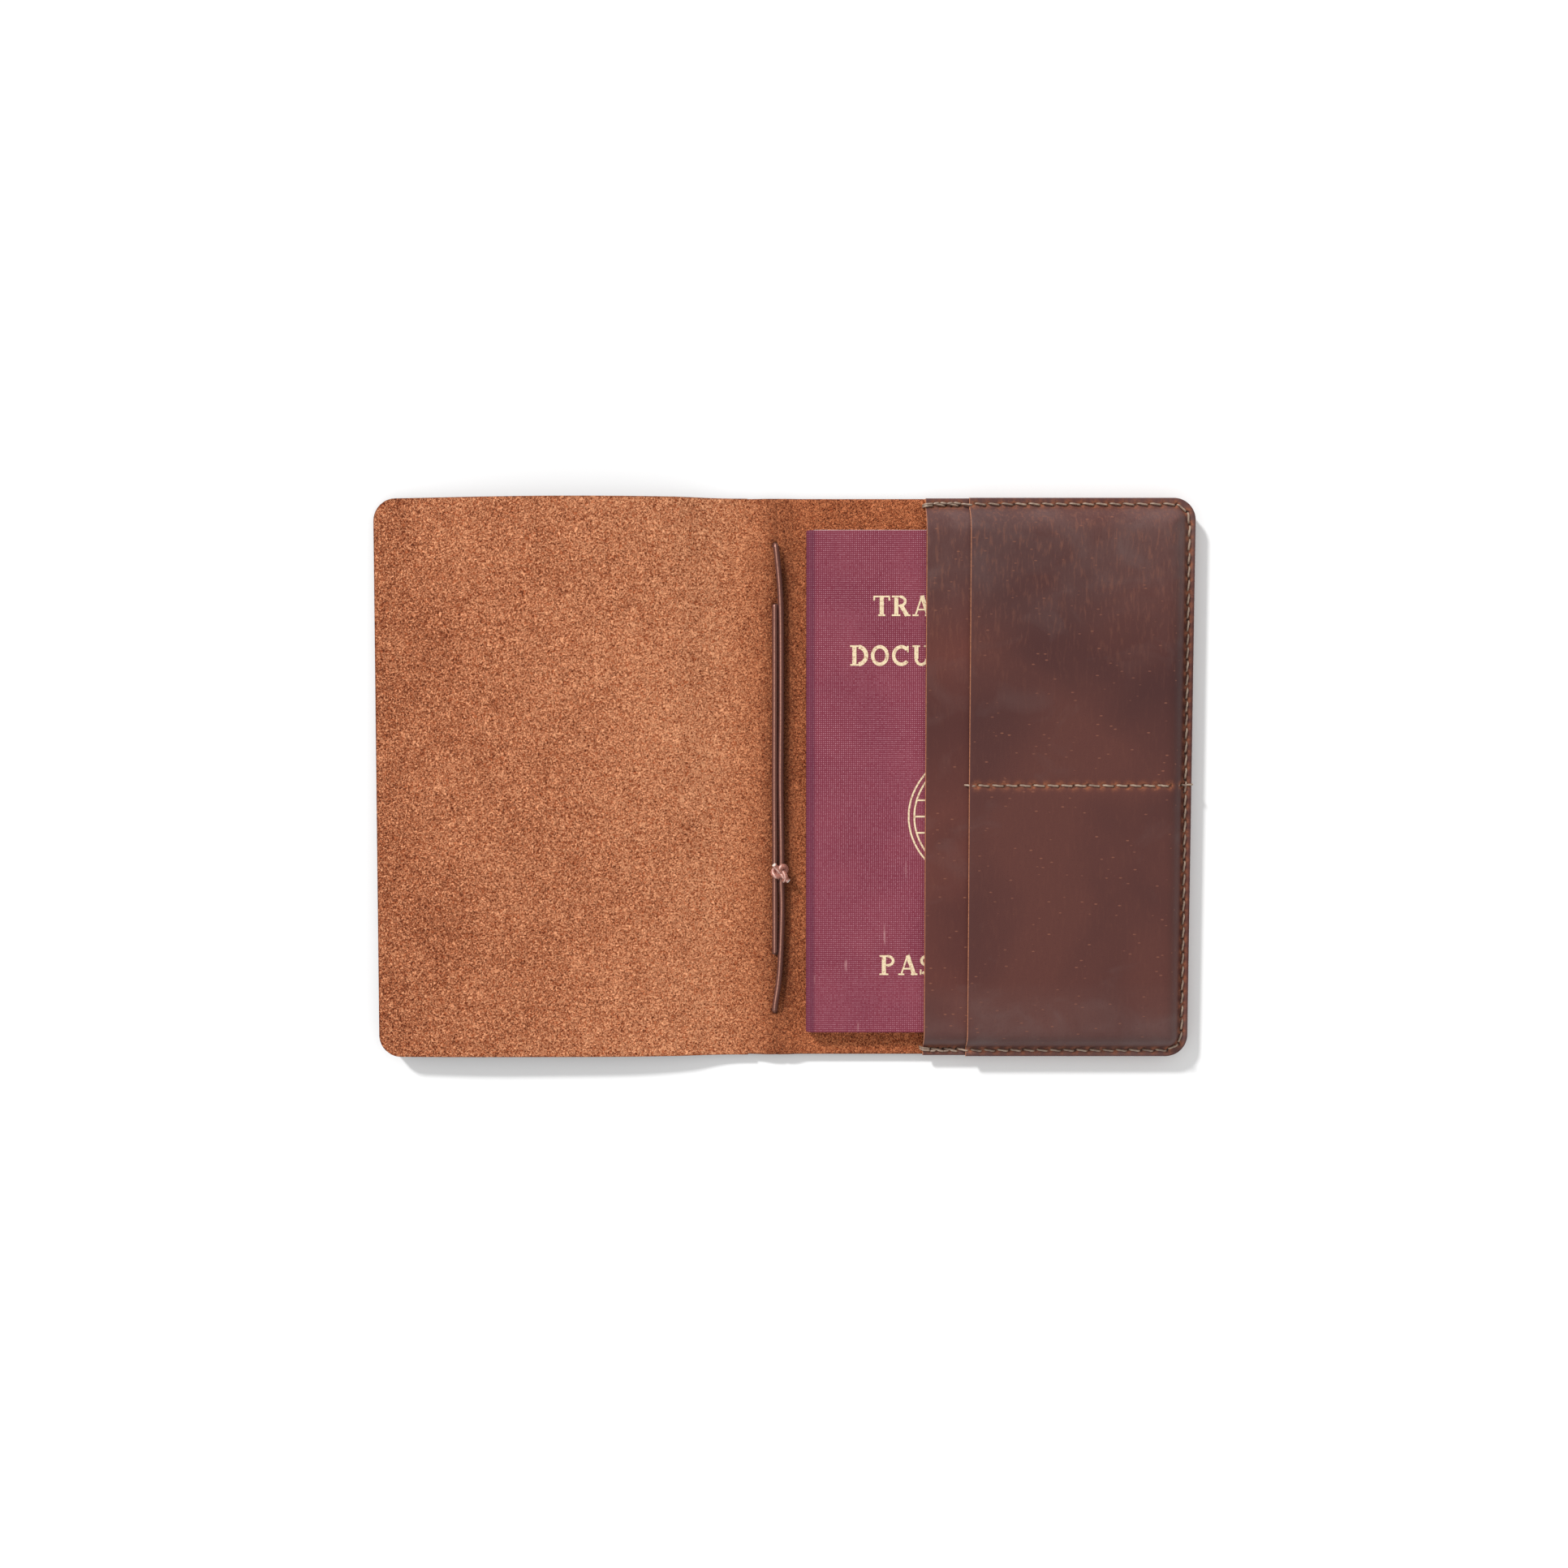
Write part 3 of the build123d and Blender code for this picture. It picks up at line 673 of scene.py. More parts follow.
def card_top(x, y):
    """Top of the card panel: it follows the pocket's form, dips along the cross seam as
    exp(-(distance / 1.6)^2), and swells a little over each slot."""
    dip = 0.14 * np.exp(-((y - divider_y) / 1.6) ** 2)
    swell = 0.16 * np.sin(np.pi * np.clip(np.abs(y - divider_y) / slot_half, 0, 1)) ** 2
    return card_flat + formed_rise(x, y) * (card_rise - panel_sag(x, y) - dip + swell)


card_grain = grain_material(
    "card_grain", (0.23, 0.086, 0.052, 1), (0.098, 0.031, 0.024, 1), (0.062, 0.020, 0.018, 1),
    (0.135, 0.083, 0.077, 1))
card_box = (card_low[0], back_high[0], back_low[1], back_high[1])
card_size = (back_high[0] - card_low[0], back_size[1])
card_plan = sheet_plan(card_box, (square, corner_radius),
                       spread_lines(card_size[0], 0.9, 0.5, [(card_size[0] - 3.0, 3.2, 0.25)]),
                       spread_lines(card_size[1], 0.9, 0.5,
                                    [(3.0, 3.2, 0.25), (card_size[1] - 3.0, 3.2, 0.25),
                                     (divider_y - back_low[1], 1.8, 0.25)]))
card_distance = rounded_distance(*card_plan, card_box, (square, corner_radius))
card_holes = np.vstack([seam_holes, divider_holes])
card_along = np.vstack([seam_along, np.tile((1.0, 0.0), (divider_count, 1))])
card_slit, card_drawn, card_pull = needle_marks(*card_plan, card_holes, card_along)
card_sewn = rounded_distance(*card_plan, sewn_outline, (corner_radius, corner_radius))
card_furrow = 0.10 * np.exp(-((card_sewn - seam_inset) / 0.8) ** 2)
card_base = card_top(*card_plan)
card_panel = closed_sheet("card_pocket_leather", card_plan,
                          card_base - 0.22 * card_drawn - card_furrow,
                          card_base - panel_thickness, 0.5, card_distance, "",
                          {"hole": card_slit, "pull": card_pull,
                           "mouth": mouth_edge(card_plan[0], card_low[0])})
card_panel.data.materials.append(card_grain)
card_panel.data.materials.append(suede_inside)
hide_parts("card_pocket")
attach(card_panel, "back")

# ---------------------------------------------------------------------------------------------
# Main seam: one waxed thread on top and one underneath, locked in every hole, round the three
# sewn sides. It is worked back over itself at each end and once over the mouth's cut edge.
# ---------------------------------------------------------------------------------------------


def tubes(name, paths, reference, radius, sides, lobes=0.0, twist=0.0, closed=False, flat=None):
    """Round threads or cords along paths (count, points, xyz) in millimetres. Each ring is
    radius * (1 + lobes * cos(3 * (angle - twist * distance along))), in the plane across the path;
    reference is a direction never along it, and flat thins each ring across that direction."""
    if closed:
        step = np.roll(paths, -1, 1) - np.roll(paths, 1, 1)
    else:
        step = np.gradient(paths, axis=1)
    step /= np.linalg.norm(step, axis=-1, keepdims=True)
    second = np.cross(step, np.broadcast_to(reference, paths.shape))
    second /= np.linalg.norm(second, axis=-1, keepdims=True)
    first = np.cross(second, step)
    gaps = np.linalg.norm(np.diff(paths, axis=1), axis=-1)
    travel = np.concatenate([np.zeros((len(paths), 1)), np.cumsum(gaps, axis=1)], axis=1)[..., None]
    angle = np.linspace(0, 2 * np.pi, sides, endpoint=False)
    reach = radius * (1 + lobes * np.cos(3 * (angle - twist * travel)))
    thin = np.ones(paths.shape[1]) if flat is None else flat
    ring = (paths[:, :, None, :]
            + (reach * np.cos(angle))[..., None] * first[:, :, None, :]
            + (reach * np.sin(angle) * thin[:, None])[..., None] * second[:, :, None, :])
    tube_count, length = paths.shape[:2]
    index = np.arange(ring[..., 0].size).reshape(tube_count, length, sides)
    ahead = np.roll(index, -1, 1) if closed else index[:, 1:]
    here = index if closed else index[:, :-1]
    quads = np.stack([here, np.roll(here, -1, 2), np.roll(ahead, -1, 2), ahead], -1).reshape(-1, 4)
    points = ring.reshape(-1, 3)
    faces = [quads[:, ::-1]]
    along = np.broadcast_to(travel, index.shape).ravel()
    around = np.broadcast_to(angle, index.shape).ravel()
    if not closed:
        tips = len(points) + np.arange(2 * tube_count).reshape(2, tube_count, 1)
        points = np.vstack([points, paths[:, 0], paths[:, -1]])
        for end, tip, order in ((index[:, 0], tips[0], 1), (index[:, -1], tips[1], -1)):
            fan = np.stack([end, np.roll(end, -1, 1), np.broadcast_to(tip, end.shape)], -1)
            faces.append(fan.reshape(-1, 3)[:, ::order])
        along = np.concatenate([along, np.zeros(2 * tube_count)])
        around = np.concatenate([around, np.zeros(2 * tube_count)])
    piece = mesh_piece(name, points, *faces)
    outward = (np.cos(angle)[:, None] * first[:, :, None, :]
               + np.sin(angle)[:, None] * second[:, :, None, :])
    outward = outward.reshape(-1, 3)
    store(piece, "outward", np.vstack([outward, np.zeros((len(points) - len(outward), 3))]))
    store(piece, "along", along)
    store(piece, "around", around)
    store(piece, "laid", points * MM)
    return piece


def stitches(starts, ends, dive, arch, lean):
    """Paths of stitches from start to end points: each rises out of one hole, lies over the leather
    in a low arch, crosses from side to side by lean, and dives into the next. Its height is
    arch * (1 - |2u - 1|^6) - dive * |2u - 1|^8, u going from 0 to 1."""
    share = (1 - np.cos(np.linspace(0, np.pi, 17))) / 2
    spread = np.abs(2 * share - 1)
    inset = 0.09 * (ends - starts)
    starts, ends = starts + inset, ends - inset
    along = ends - starts
    side = np.stack([-along[:, 1], along[:, 0], np.zeros(len(along))], -1)
    side /= np.linalg.norm(side, axis=-1, keepdims=True)
    paths = starts[:, None, :] + share[None, :, None] * along[:, None, :]
    paths = paths + (lean * np.cos(np.pi * share))[None, :, None] * side[:, None, :]
    paths[..., 2] += arch * (1 - spread ** 6) - dive * spread ** 8
    return paths, side[:, None, :]


def waxed_thread(name, tone):
    """Waxed thread: greyish beige, its plies shaded at their edges and lightly glossy."""
    made, tree, surface = new_material(name)
    place = stored(tree, "laid", "Vector")
    grime = noise(tree, place, 1.6, 2.0, 0.6)
    grimy = (tone[0] * 0.55, tone[1] * 0.5, tone[2] * 0.5, 1)
    colour = blended(tree, ranged(tree, grime, 0.35, 0.65), grimy, tone)
    tree.links.new(colour, surface.inputs["Base Color"])
    surface.inputs["Roughness"].default_value = 0.42
    surface.inputs["Specular IOR Level"].default_value = 0.5
    return made


thread_wax = waxed_thread("waxed_thread", (0.36, 0.26, 0.19, 1))
thread_radius = 0.25
on_pocket = seam_holes[:seam_count]
thread_sink = 0.10
seam_z = np.where(on_pocket[:, 0] > card_low[0] - 0.3, card_flat, pocket_flat) - thread_sink
seam_points = np.column_stack([on_pocket, seam_z])
top_paths, top_side = stitches(seam_points[:-1], seam_points[1:], 0.9, 0.22, 0.16)
doubled = np.array([[0.0, 0.34, 0.0]])
ends_first = np.vstack([seam_points[[0, 1]] + doubled, seam_points[[-1, -2]] - doubled])
ends_second = np.vstack([seam_points[[1, 2]] + doubled, seam_points[[-2, -3]] - doubled])
half_back = (ends_first + ends_second) / 2
back_ends = ends_second + (ends_second - half_back) * 0.3
back_paths, back_side = stitches(half_back, back_ends, 0.9, 0.36, 0.10)
more_paths, more_side = stitches(ends_first, half_back, 0.9, 0.36, -0.10)
wrap_share = np.linspace(0, 1, 17)
wrap_stops = [0, 0.12, 0.5, 0.72, 0.88, 1]
wrap_x = pocket_low[0] + np.interp(wrap_share, wrap_stops, [1.8, 1.6, 0.3, -0.22, -0.42, -0.75])
wrap_z = np.interp(wrap_share, wrap_stops, [1.9, 2.85, 2.98, 2.62, 1.9, 1.1])
wrap_paths, wrap_side = [], []
for side in (1, -1):
    for shift in (0.28, -0.20):
        wrap_y = side * (seam_start[1] + shift - 0.25 * wrap_share)
        wrap_paths.append(np.stack([wrap_x + 0.1 * shift, wrap_y, wrap_z], -1))
        wrap_side.append([[0.0, 1.0, 0.0]])
seam_top = tubes("seam_needle_stitches",
                 np.concatenate([top_paths, back_paths, more_paths, wrap_paths]),
                 np.concatenate([top_side, back_side, more_side, wrap_side]),
                 thread_radius, 12, 0.13, 1.5)
seam_top.data.materials.append(thread_wax)
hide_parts("seam_needle_thread")
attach(seam_top, "back")

under_z = 0.34  # in its groove, clear of the table
under_points = np.column_stack([on_pocket, np.full(len(on_pocket), under_z)])
under_paths, under_side = stitches(under_points[:-1], under_points[1:], -0.9, -0.05, -0.14)
seam_under = tubes("seam_bobbin_stitches", under_paths, under_side, thread_radius, 10, 0.13, 1.5)
seam_under.data.materials.append(thread_wax)
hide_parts("seam_bobbin_thread")
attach(seam_under, "back")

# ---------------------------------------------------------------------------------------------
# Divider seam: a straight cross seam through the card panel and the pocket panel, run down the
# formed slope and whipped once over the right-hand cut edge.
# ---------------------------------------------------------------------------------------------

divider_z = card_top(divider_holes[:, 0], divider_holes[:, 1]) - 0.16
divider_z[0] = pocket_top(divider_holes[:1, 0], divider_holes[:1, 1])[0] - thread_sink
divider_points = np.column_stack([divider_holes, divider_z])
divider_paths, divider_side = stitches(divider_points[:-1], divider_points[1:], 0.7, 0.24, 0.10)
whip_stops = [0, 0.12, 0.45, 0.66, 0.82, 1]
whip_x = back_high[0] + np.interp(wrap_share, whip_stops, [-1.5, -1.3, -0.25, 0.22, 0.20, 0.1])
whip_z = np.interp(wrap_share, whip_stops, [3.0, 3.95, 3.9, 3.2, 1.9, 0.5])
whip = np.stack([whip_x, np.full(17, divider_y) + 0.15 * wrap_share, whip_z], -1)[None]
divider_top = tubes("divider_needle_stitches", np.concatenate([divider_paths, whip]),
                    np.concatenate([divider_side, [[[0.0, 1.0, 0.0]]]]), thread_radius, 12, 0.13, 1.5)
divider_top.data.materials.append(thread_wax)
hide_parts("divider_needle_thread")
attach(divider_top, "back")

inner_holes = divider_holes[:15]  # the holes over the booklet's room, clear of the slope
inner_z = pocket_top(inner_holes[:, 0], inner_holes[:, 1]) - panel_thickness
inner_points = np.column_stack([inner_holes, inner_z])
inner_paths, inner_side = stitches(inner_points[:-1], inner_points[1:], -0.6, 0.04, -0.08)
divider_under = tubes("divider_bobbin_stitches", inner_paths, inner_side, 0.17, 8, 0.13, 1.5)
divider_under.data.materials.append(thread_wax)
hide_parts("divider_bobbin_thread")
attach(divider_under, "back")

# ---------------------------------------------------------------------------------------------
# Elastic cord: one loop of rubber strands in a glossy woven sheath, threaded through four holes in
# the spine. Inside it shows as a long run and a short run side by side, outside as two short
# flattened runs in their grooves. It is held in its holes all the way, so it isn't a free cord.
# ---------------------------------------------------------------------------------------------


def smooth_line(knots, spacing, closed=False):
    """Catmull-Rom curve through the knots, cut again at even spacing: between two knots it is the
    cubic that leaves and arrives along the chords of their neighbours."""
    knots = np.asarray(knots, float)
    if closed:
        padded = np.vstack([knots[-1:], knots, knots[:2]])
    else:
        padded = np.vstack([2 * knots[0] - knots[1], knots, 2 * knots[-1] - knots[-2]])
    spans = len(padded) - 3
    place = np.linspace(0, spans, 40 * spans + 1)
    index = np.minimum(place.astype(int), spans - 1)
    part = (place - index)[:, None]
    before, start, end, after = (padded[index + k] for k in range(4))
    curve = 0.5 * (2 * start + (end - before) * part
                   + (2 * before - 5 * start + 4 * end - after) * part ** 2
                   + (3 * start - before - 3 * end + after) * part ** 3)
    travel = np.concatenate([[0], np.cumsum(np.linalg.norm(np.diff(curve, axis=0), axis=1))])
    count = int(round(travel[-1] / spacing)) + 1
    stops = np.linspace(0, travel[-1], count)[: count - 1 if closed else count]
    return np.stack([np.interp(stops, travel, curve[:, axis]) for axis in range(3)], -1)


def sheath_material(name, dark, rubbed, sheen_tint):
    """Woven sheath: two sets of glossy strands crossing, sin(6 * angle + k * along) times
    sin(6 * angle - k * along), dark maroon, with a painted highlight: a pale stripe along the top of
    the cord, on its side towards the light."""
    made, tree, surface = new_material(name)
    along, around = stored(tree, "along"), stored(tree, "around")
    runs = times(tree, along, 7.5)
    turns = times(tree, around, 6.0)
    right = worked(tree, "SINE", plus(tree, turns, runs))
    left = worked(tree, "SINE", worked(tree, "SUBTRACT", turns, runs))
    weave = times(tree, right, left)
    fuzz = noise(tree, stored(tree, "laid", "Vector"), 0.35, 2.0, 0.6)
    pale = (dark[0] * 2.6, dark[1] * 3.0, dark[2] * 2.8, 1)
    colour = blended(tree, ranged(tree, weave, -0.6, 0.9, 0.0, 0.8), dark, pale)
    colour = blended(tree, ranged(tree, fuzz, 0.45, 0.7, 0.0, 0.5), colour, pale)
    # Painted highlight: a pale stripe where the cord faces up and a little to the left, towards the
    # light.
    facing = node(tree, "SeparateXYZ", {}, {0: stored(tree, "outward", "Vector")})
    beside = worked(tree, "ABSOLUTE", plus(tree, facing.outputs["X"], 0.22))
    above = ranged(tree, facing.outputs["Z"], 0.3, 0.6)
    painted_highlight = times(tree, ranged(tree, beside, 0.30, 0.04), above)
    painted_highlight = times(tree, painted_highlight, ranged(tree, fuzz, 0.30, 0.60, 0.45, 0.95))
    colour = blended(tree, painted_highlight, colour, rubbed)
    tree.links.new(colour, surface.inputs["Base Color"])
    surface.inputs["Roughness"].default_value = 0.32
    surface.inputs["Specular IOR Level"].default_value = 0.9
    surface.inputs["Specular Tint"].default_value = sheen_tint
    surface.inputs["Sheen Weight"].default_value = 0.08
    rise = plus(tree, times(tree, weave, 0.5), fuzz)
    tree.links.new(bumped(tree, rise, 0.25, 0.06), surface.inputs["Normal"])
    return made


# Its second colour is the pale stripe of the painted highlight.
cord_sheath = sheath_material(
    "cord_sheath", (0.045, 0.0115, 0.0085, 1), (0.48, 0.23, 0.17, 1), (1.0, 0.60, 0.50, 1))
cord_radius = 0.72
cord_z = leather_top + cord_radius + 0.03 + spine_lift(-1.0)
outer_z = 0.42 + spine_lift(-2.1)
# The loop's route in the order the cord runs: down the long inside run, out and back through the
# two lower holes, up the short inside run, and out and back through the two upper holes.
cord_knots = [
    (-1.75, 56.6, cord_z), (-0.75, 44.3, cord_z), (-0.6, 20.2, cord_z), (-0.72, 0.0, cord_z),
    (-0.5, -19.0, cord_z), (-0.6, -23.4, cord_z + 0.35), (-0.4, -33.0, cord_z),
    (-0.95, -48.0, cord_z), (-2.1, -56.6, cord_z), (-2.2, -58.0, cord_z - 0.75),
    (-2.15, -58.3, outer_z + 0.7), (-2.1, -57.8, outer_z + 0.05), (-2.1, -56.9, outer_z),
    (-2.1, -50.5, outer_z), (-2.1, -44.6, outer_z), (-2.1, -43.6, outer_z + 0.15),
    (-2.1, -43.15, outer_z + 0.7), (-2.12, -42.7, cord_z - 0.45), (-2.14, -41.6, cord_z),
    (-2.15, -21.0, cord_z), (-2.2, 0.0, cord_z), (-2.15, 21.0, cord_z), (-2.14, 41.6, cord_z),
    (-2.12, 42.7, cord_z - 0.45), (-2.1, 43.15, outer_z + 0.7), (-2.1, 43.6, outer_z + 0.15),
    (-2.1, 44.6, outer_z), (-2.1, 50.5, outer_z), (-2.1, 56.9, outer_z),
    (-2.1, 57.8, outer_z + 0.05), (-2.12, 58.3, outer_z + 0.7), (-2.1, 58.0, cord_z - 0.75),
]
cord_line = smooth_line(cord_knots, 0.33, True)
cord_flat = np.interp(cord_line[:, 2], [outer_z + 0.1, outer_z + 0.7], [0.55, 1.0])
cord = tubes("elastic_cord_loop", cord_line[None], (1.0, 0.0, 0.0), cord_radius, 16,
             closed=True, flat=cord_flat)
cord.data.materials.append(cord_sheath)
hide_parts("elastic_cord")
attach(cord, "spine")

# ---------------------------------------------------------------------------------------------
# Elastic knot: the two ends of the loop tied on the inside in a tight overhand knot, each cut short
# so that its white rubber core shows at the end.
# ---------------------------------------------------------------------------------------------

# The knot is a tight trefoil: x = sin t + 2 sin 2t, y = cos t - 2 cos 2t, z = -sin 3t, scaled.
knot_place = np.array([-0.75, -23.3, cord_z + 0.60])
knot_turn = np.linspace(0, 2 * np.pi, 24, endpoint=False)
knot_shape = np.stack([
    0.62 * (np.sin(knot_turn) + 2 * np.sin(2 * knot_turn)),
    0.66 * (np.cos(knot_turn) - 2 * np.cos(2 * knot_turn)),
    -0.62 * np.sin(3 * knot_turn)], -1)
knot_angle = math.radians(24)
knot_spin = np.array([[math.cos(knot_angle), math.sin(knot_angle), 0],
                      [-math.sin(knot_angle), math.cos(knot_angle), 0], [0, 0, 1]])
knot_line = smooth_line(knot_shape @ knot_spin + knot_place, 0.16, True)
knot = tubes("elastic_knot_loop", knot_line[None], (0.0, 0.0, 1.0), 0.66, 16, closed=True)
tail_knots = np.array([
    [(0.5, -0.3, 0.1), (-0.3, 0.6, 0.6), (-1.05, 1.45, 0.75), (-1.55, 2.10, 1.05)],
    [(-0.4, 0.3, -0.1), (0.5, -0.6, 0.5), (1.3, -1.4, 0.35), (1.9, -1.95, 0.40)],
])
tail_lines = np.stack([smooth_line(line + knot_place, 0.13)[:28] for line in tail_knots])
tails = tubes("elastic_knot_tails", tail_lines, (0.0, 0.0, 1.0), 0.64, 14)
# Its second colour is the pale stripe of the painted highlight.
knot_sheath = sheath_material(
    "knot_sheath", (0.20, 0.070, 0.055, 1), (0.72, 0.48, 0.42, 1), (1.0, 0.62, 0.52, 1))
for piece in (knot, tails):
    piece.data.materials.append(knot_sheath)
    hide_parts("elastic_knot")
    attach(piece, "spine")

rubber_white, rubber_tree, rubber_surface = new_material("rubber_core")
rubber_grain = noise(rubber_tree, stored(rubber_tree, "laid", "Vector"), 0.3, 2.0, 0.6)
rubber_tree.links.new(
    blended(rubber_tree, ranged(rubber_tree, rubber_grain, 0.4, 0.62),
            (0.60, 0.47, 0.40, 1), (0.86, 0.80, 0.74, 1)),
    rubber_surface.inputs["Base Color"])
rubber_surface.inputs["Roughness"].default_value = 0.7
core_ahead = tail_lines[:, -1] - tail_lines[:, -2]
core_ahead /= np.linalg.norm(core_ahead, axis=1, keepdims=True)
core_reach = np.linspace(-0.5, 0.22, 6)
core_lines = tail_lines[:, -1][:, None] + core_reach[None, :, None] * core_ahead[:, None]
cores = tubes("elastic_core_ends", core_lines, (0.0, 0.0, 1.0), 0.50, 14, 0.08, 0.4)
cores.data.materials.append(rubber_white)
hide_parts("elastic_cores")
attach(cores, "spine")

# ---------------------------------------------------------------------------------------------
# Passport pages: thin leaves of paper stacked in the booklet, each cut a little differently, so
# that a white edge shows beyond the cover at the top and at the lower corner.
# ---------------------------------------------------------------------------------------------

book_low, book_high = (np.array(corner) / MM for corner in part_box("passport_cover"))
page_low, page_high = (np.array(corner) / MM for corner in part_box("passport_pages"))
paper, paper_tree, paper_surface = new_material("page_paper")
paper_place = stored(paper_tree, "laid", "Vector")
paper_lines = noise(paper_tree, stretched(paper_tree, paper_place, (0.05, 0.05, 1.0)), 0.11, 2.0, 0.6)
paper_tree.links.new(
    blended(paper_tree, ranged(paper_tree, paper_lines, 0.35, 0.65),
            (0.62, 0.56, 0.52, 1), (0.90, 0.88, 0.85, 1)),
    paper_surface.inputs["Base Color"])
paper_surface.inputs["Roughness"].default_value = 0.85
leaf_count = 9
leaf_step = (page_high[2] - page_low[2]) / leaf_count
leaf_corners = (0.8, 2.8)
for leaf in range(leaf_count):
    leaf_over = 0.30 + 0.16 * math.sin(2.3 * leaf)
    leaf_box = (page_low[0] + 0.6, page_high[0] - 0.2 + 0.10 * math.sin(1.7 * leaf),
                page_low[1] - leaf_over * 0.6, page_high[1] + leaf_over)
    leaf_plan = sheet_plan(leaf_box, leaf_corners, spread_lines(leaf_box[1] - leaf_box[0], 8.0, 0.05),
                           spread_lines(leaf_box[3] - leaf_box[2], 8.0, 0.05))
    leaf_low = page_low[2] + leaf * leaf_step
    leaf_flat = np.zeros_like(leaf_plan[0])
    leaf_distance = rounded_distance(*leaf_plan, leaf_box, leaf_corners)
    leaf_piece = closed_sheet(f"page_leaf_{leaf + 1}", leaf_plan,
                              leaf_flat + leaf_low + 0.86 * leaf_step, leaf_flat + leaf_low,
                              0.05, leaf_distance)
    leaf_piece.data.materials.append(paper)
    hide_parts("passport_pages")
    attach(leaf_piece, "passport")

# ---------------------------------------------------------------------------------------------
# Passport cover: coated cloth bent round the page block, with a fine raised weave, two boards with
# rounded fore-edge corners and a rounded spine.
# ---------------------------------------------------------------------------------------------

board = 0.5
book_radius = (book_high[2] - book_low[2]) / 2
board_run = book_high[0] - book_low[0] - book_radius
book_turn = math.pi * book_radius
book_corner = 3.2


def booklet_bend(x, y, z):
    """Wraps the flat cover round the spine. With u the run along it and w the depth below its face:
    the under board for u < run, an arc x = centre - (radius - w) * sin(angle) for the spine, with
    angle = (u - run) / radius, and the upper board beyond."""
    angle = np.clip((x - board_run) / book_radius, 0, math.pi)
    depth = book_radius + z
    beyond = np.maximum(x - board_run - book_turn, 0) + np.maximum(board_run - x, 0)
    bent_x = book_low[0] + book_radius - depth * np.sin(angle) + beyond
    return bent_x, y, (book_low[2] + book_high[2]) / 2 - depth * np.cos(angle)


def cloth_material(name):
    """Coated cloth: raised dots where threads cross, (1 + sin x) * (1 + sin y) in a 0.5 mm net, each
    worn paler, darker over the spine, and a few long pale scratches."""
    made, tree, surface = new_material(name)
    place = stored(tree, "laid", "Vector")
    drift = noise(tree, place, 6.0, 2.0, 0.5)
    parts = node(tree, "SeparateXYZ", {}, {0: place})
    turn = 2 * math.pi / (0.50 * MM)
    across = worked(tree, "SINE", times(tree, parts.outputs["X"], turn))
    up = worked(tree, "SINE", times(tree, parts.outputs["Y"], turn))
    dots = times(tree, ranged(tree, across, -1.0, 1.0), ranged(tree, up, -1.0, 1.0))
    grit = noise(tree, place, 0.30, 2.0, 0.6)
    clouds = noise(tree, place, 14.0, 3.0, 0.55)
    rubbed = times(tree, ranged(tree, dots, 0.30, 0.90), ranged(tree, grit, 0.36, 0.66, 0.10, 1.0))
    colour = blended(tree, ranged(tree, clouds, 0.35, 0.65),
                     (0.190, 0.025, 0.046, 1), (0.225, 0.036, 0.058, 1))
    colour = blended(tree, rubbed, colour, (0.62, 0.34, 0.40, 1))
    colour = blended(tree, ranged(tree, dots, 0.20, 0.0, 0.0, 0.30), colour, (0.10, 0.014, 0.034, 1))
    hinge = board_run + book_turn
    bend_place = ranged(tree, parts.outputs["X"], (hinge + 0.9) * MM, hinge * MM)
    colour = blended(tree, times(tree, bend_place, 0.62), colour, (0.095, 0.018, 0.040, 1))
    lines = noise(tree, stretched(tree, place, (1.0, 0.05, 1.0), 0.55), 1.3, 1.0, 0.5)
    drifted = ranged(tree, drift, 0.55, 0.70, 0.0, 0.6)
    scratch = times(tree, ranged(tree, lines, 0.70, 0.76), drifted)
    colour = blended(tree, scratch, colour, (0.55, 0.30, 0.30, 1))
    tree.links.new(colour, surface.inputs["Base Color"])
    surface.inputs["Roughness"].default_value = 0.55
    surface.inputs["Specular IOR Level"].default_value = 0.16
    rise = plus(tree, dots, grit)
    tree.links.new(bumped(tree, rise, 0.5, 0.07), surface.inputs["Normal"])
    return made


book_cloth = cloth_material("booklet_cloth_weave")
book_length = 2 * board_run + book_turn
book_box = (0.0, book_length, book_low[1], book_high[1])
book_plan = sheet_plan(book_box, (book_corner, book_corner),
                       spread_lines(book_length, 2.2, 0.12, [(book_length / 2, 4.5, 0.22)]),
                       spread_lines(book_high[1] - book_low[1], 2.2, 0.12,
                                    [(0.0, 3.6, 0.35), (book_high[1] - book_low[1], 3.6, 0.35)]))
book_flat = np.zeros_like(book_plan[0])
book_cover = closed_sheet("passport_cover_cloth", book_plan, book_flat, book_flat - board, 0.12,
                          rounded_distance(*book_plan, book_box, (book_corner, book_corner)),
                          bend=booklet_bend)
book_cover.data.materials.append(book_cloth)
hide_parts("passport_cover")
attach(book_cover, "passport")

# ---------------------------------------------------------------------------------------------
# Passport foil: words and a plain globe of latitude and longitude lines, stamped in gold-coloured
# foil on the upper board. The words are the generic ones any booklet of this kind could carry.
# ---------------------------------------------------------------------------------------------

foil, foil_tree, foil_surface = new_material("gold_foil")
foil_place = stored(foil_tree, "laid", "Vector")
foil_worn = noise(foil_tree, foil_place, 0.7, 3.0, 0.65)
foil_tree.links.new(
    blended(foil_tree, ranged(foil_tree, foil_worn, 0.34, 0.50),
            (0.50, 0.29, 0.19, 1), (0.84, 0.68, 0.44, 1)),
    foil_surface.inputs["Base Color"])
foil_surface.inputs["Metallic"].default_value = 0.15
foil_surface.inputs["Roughness"].default_value = 0.38
foil_thickness = 0.035
foil_z = book_high[2]


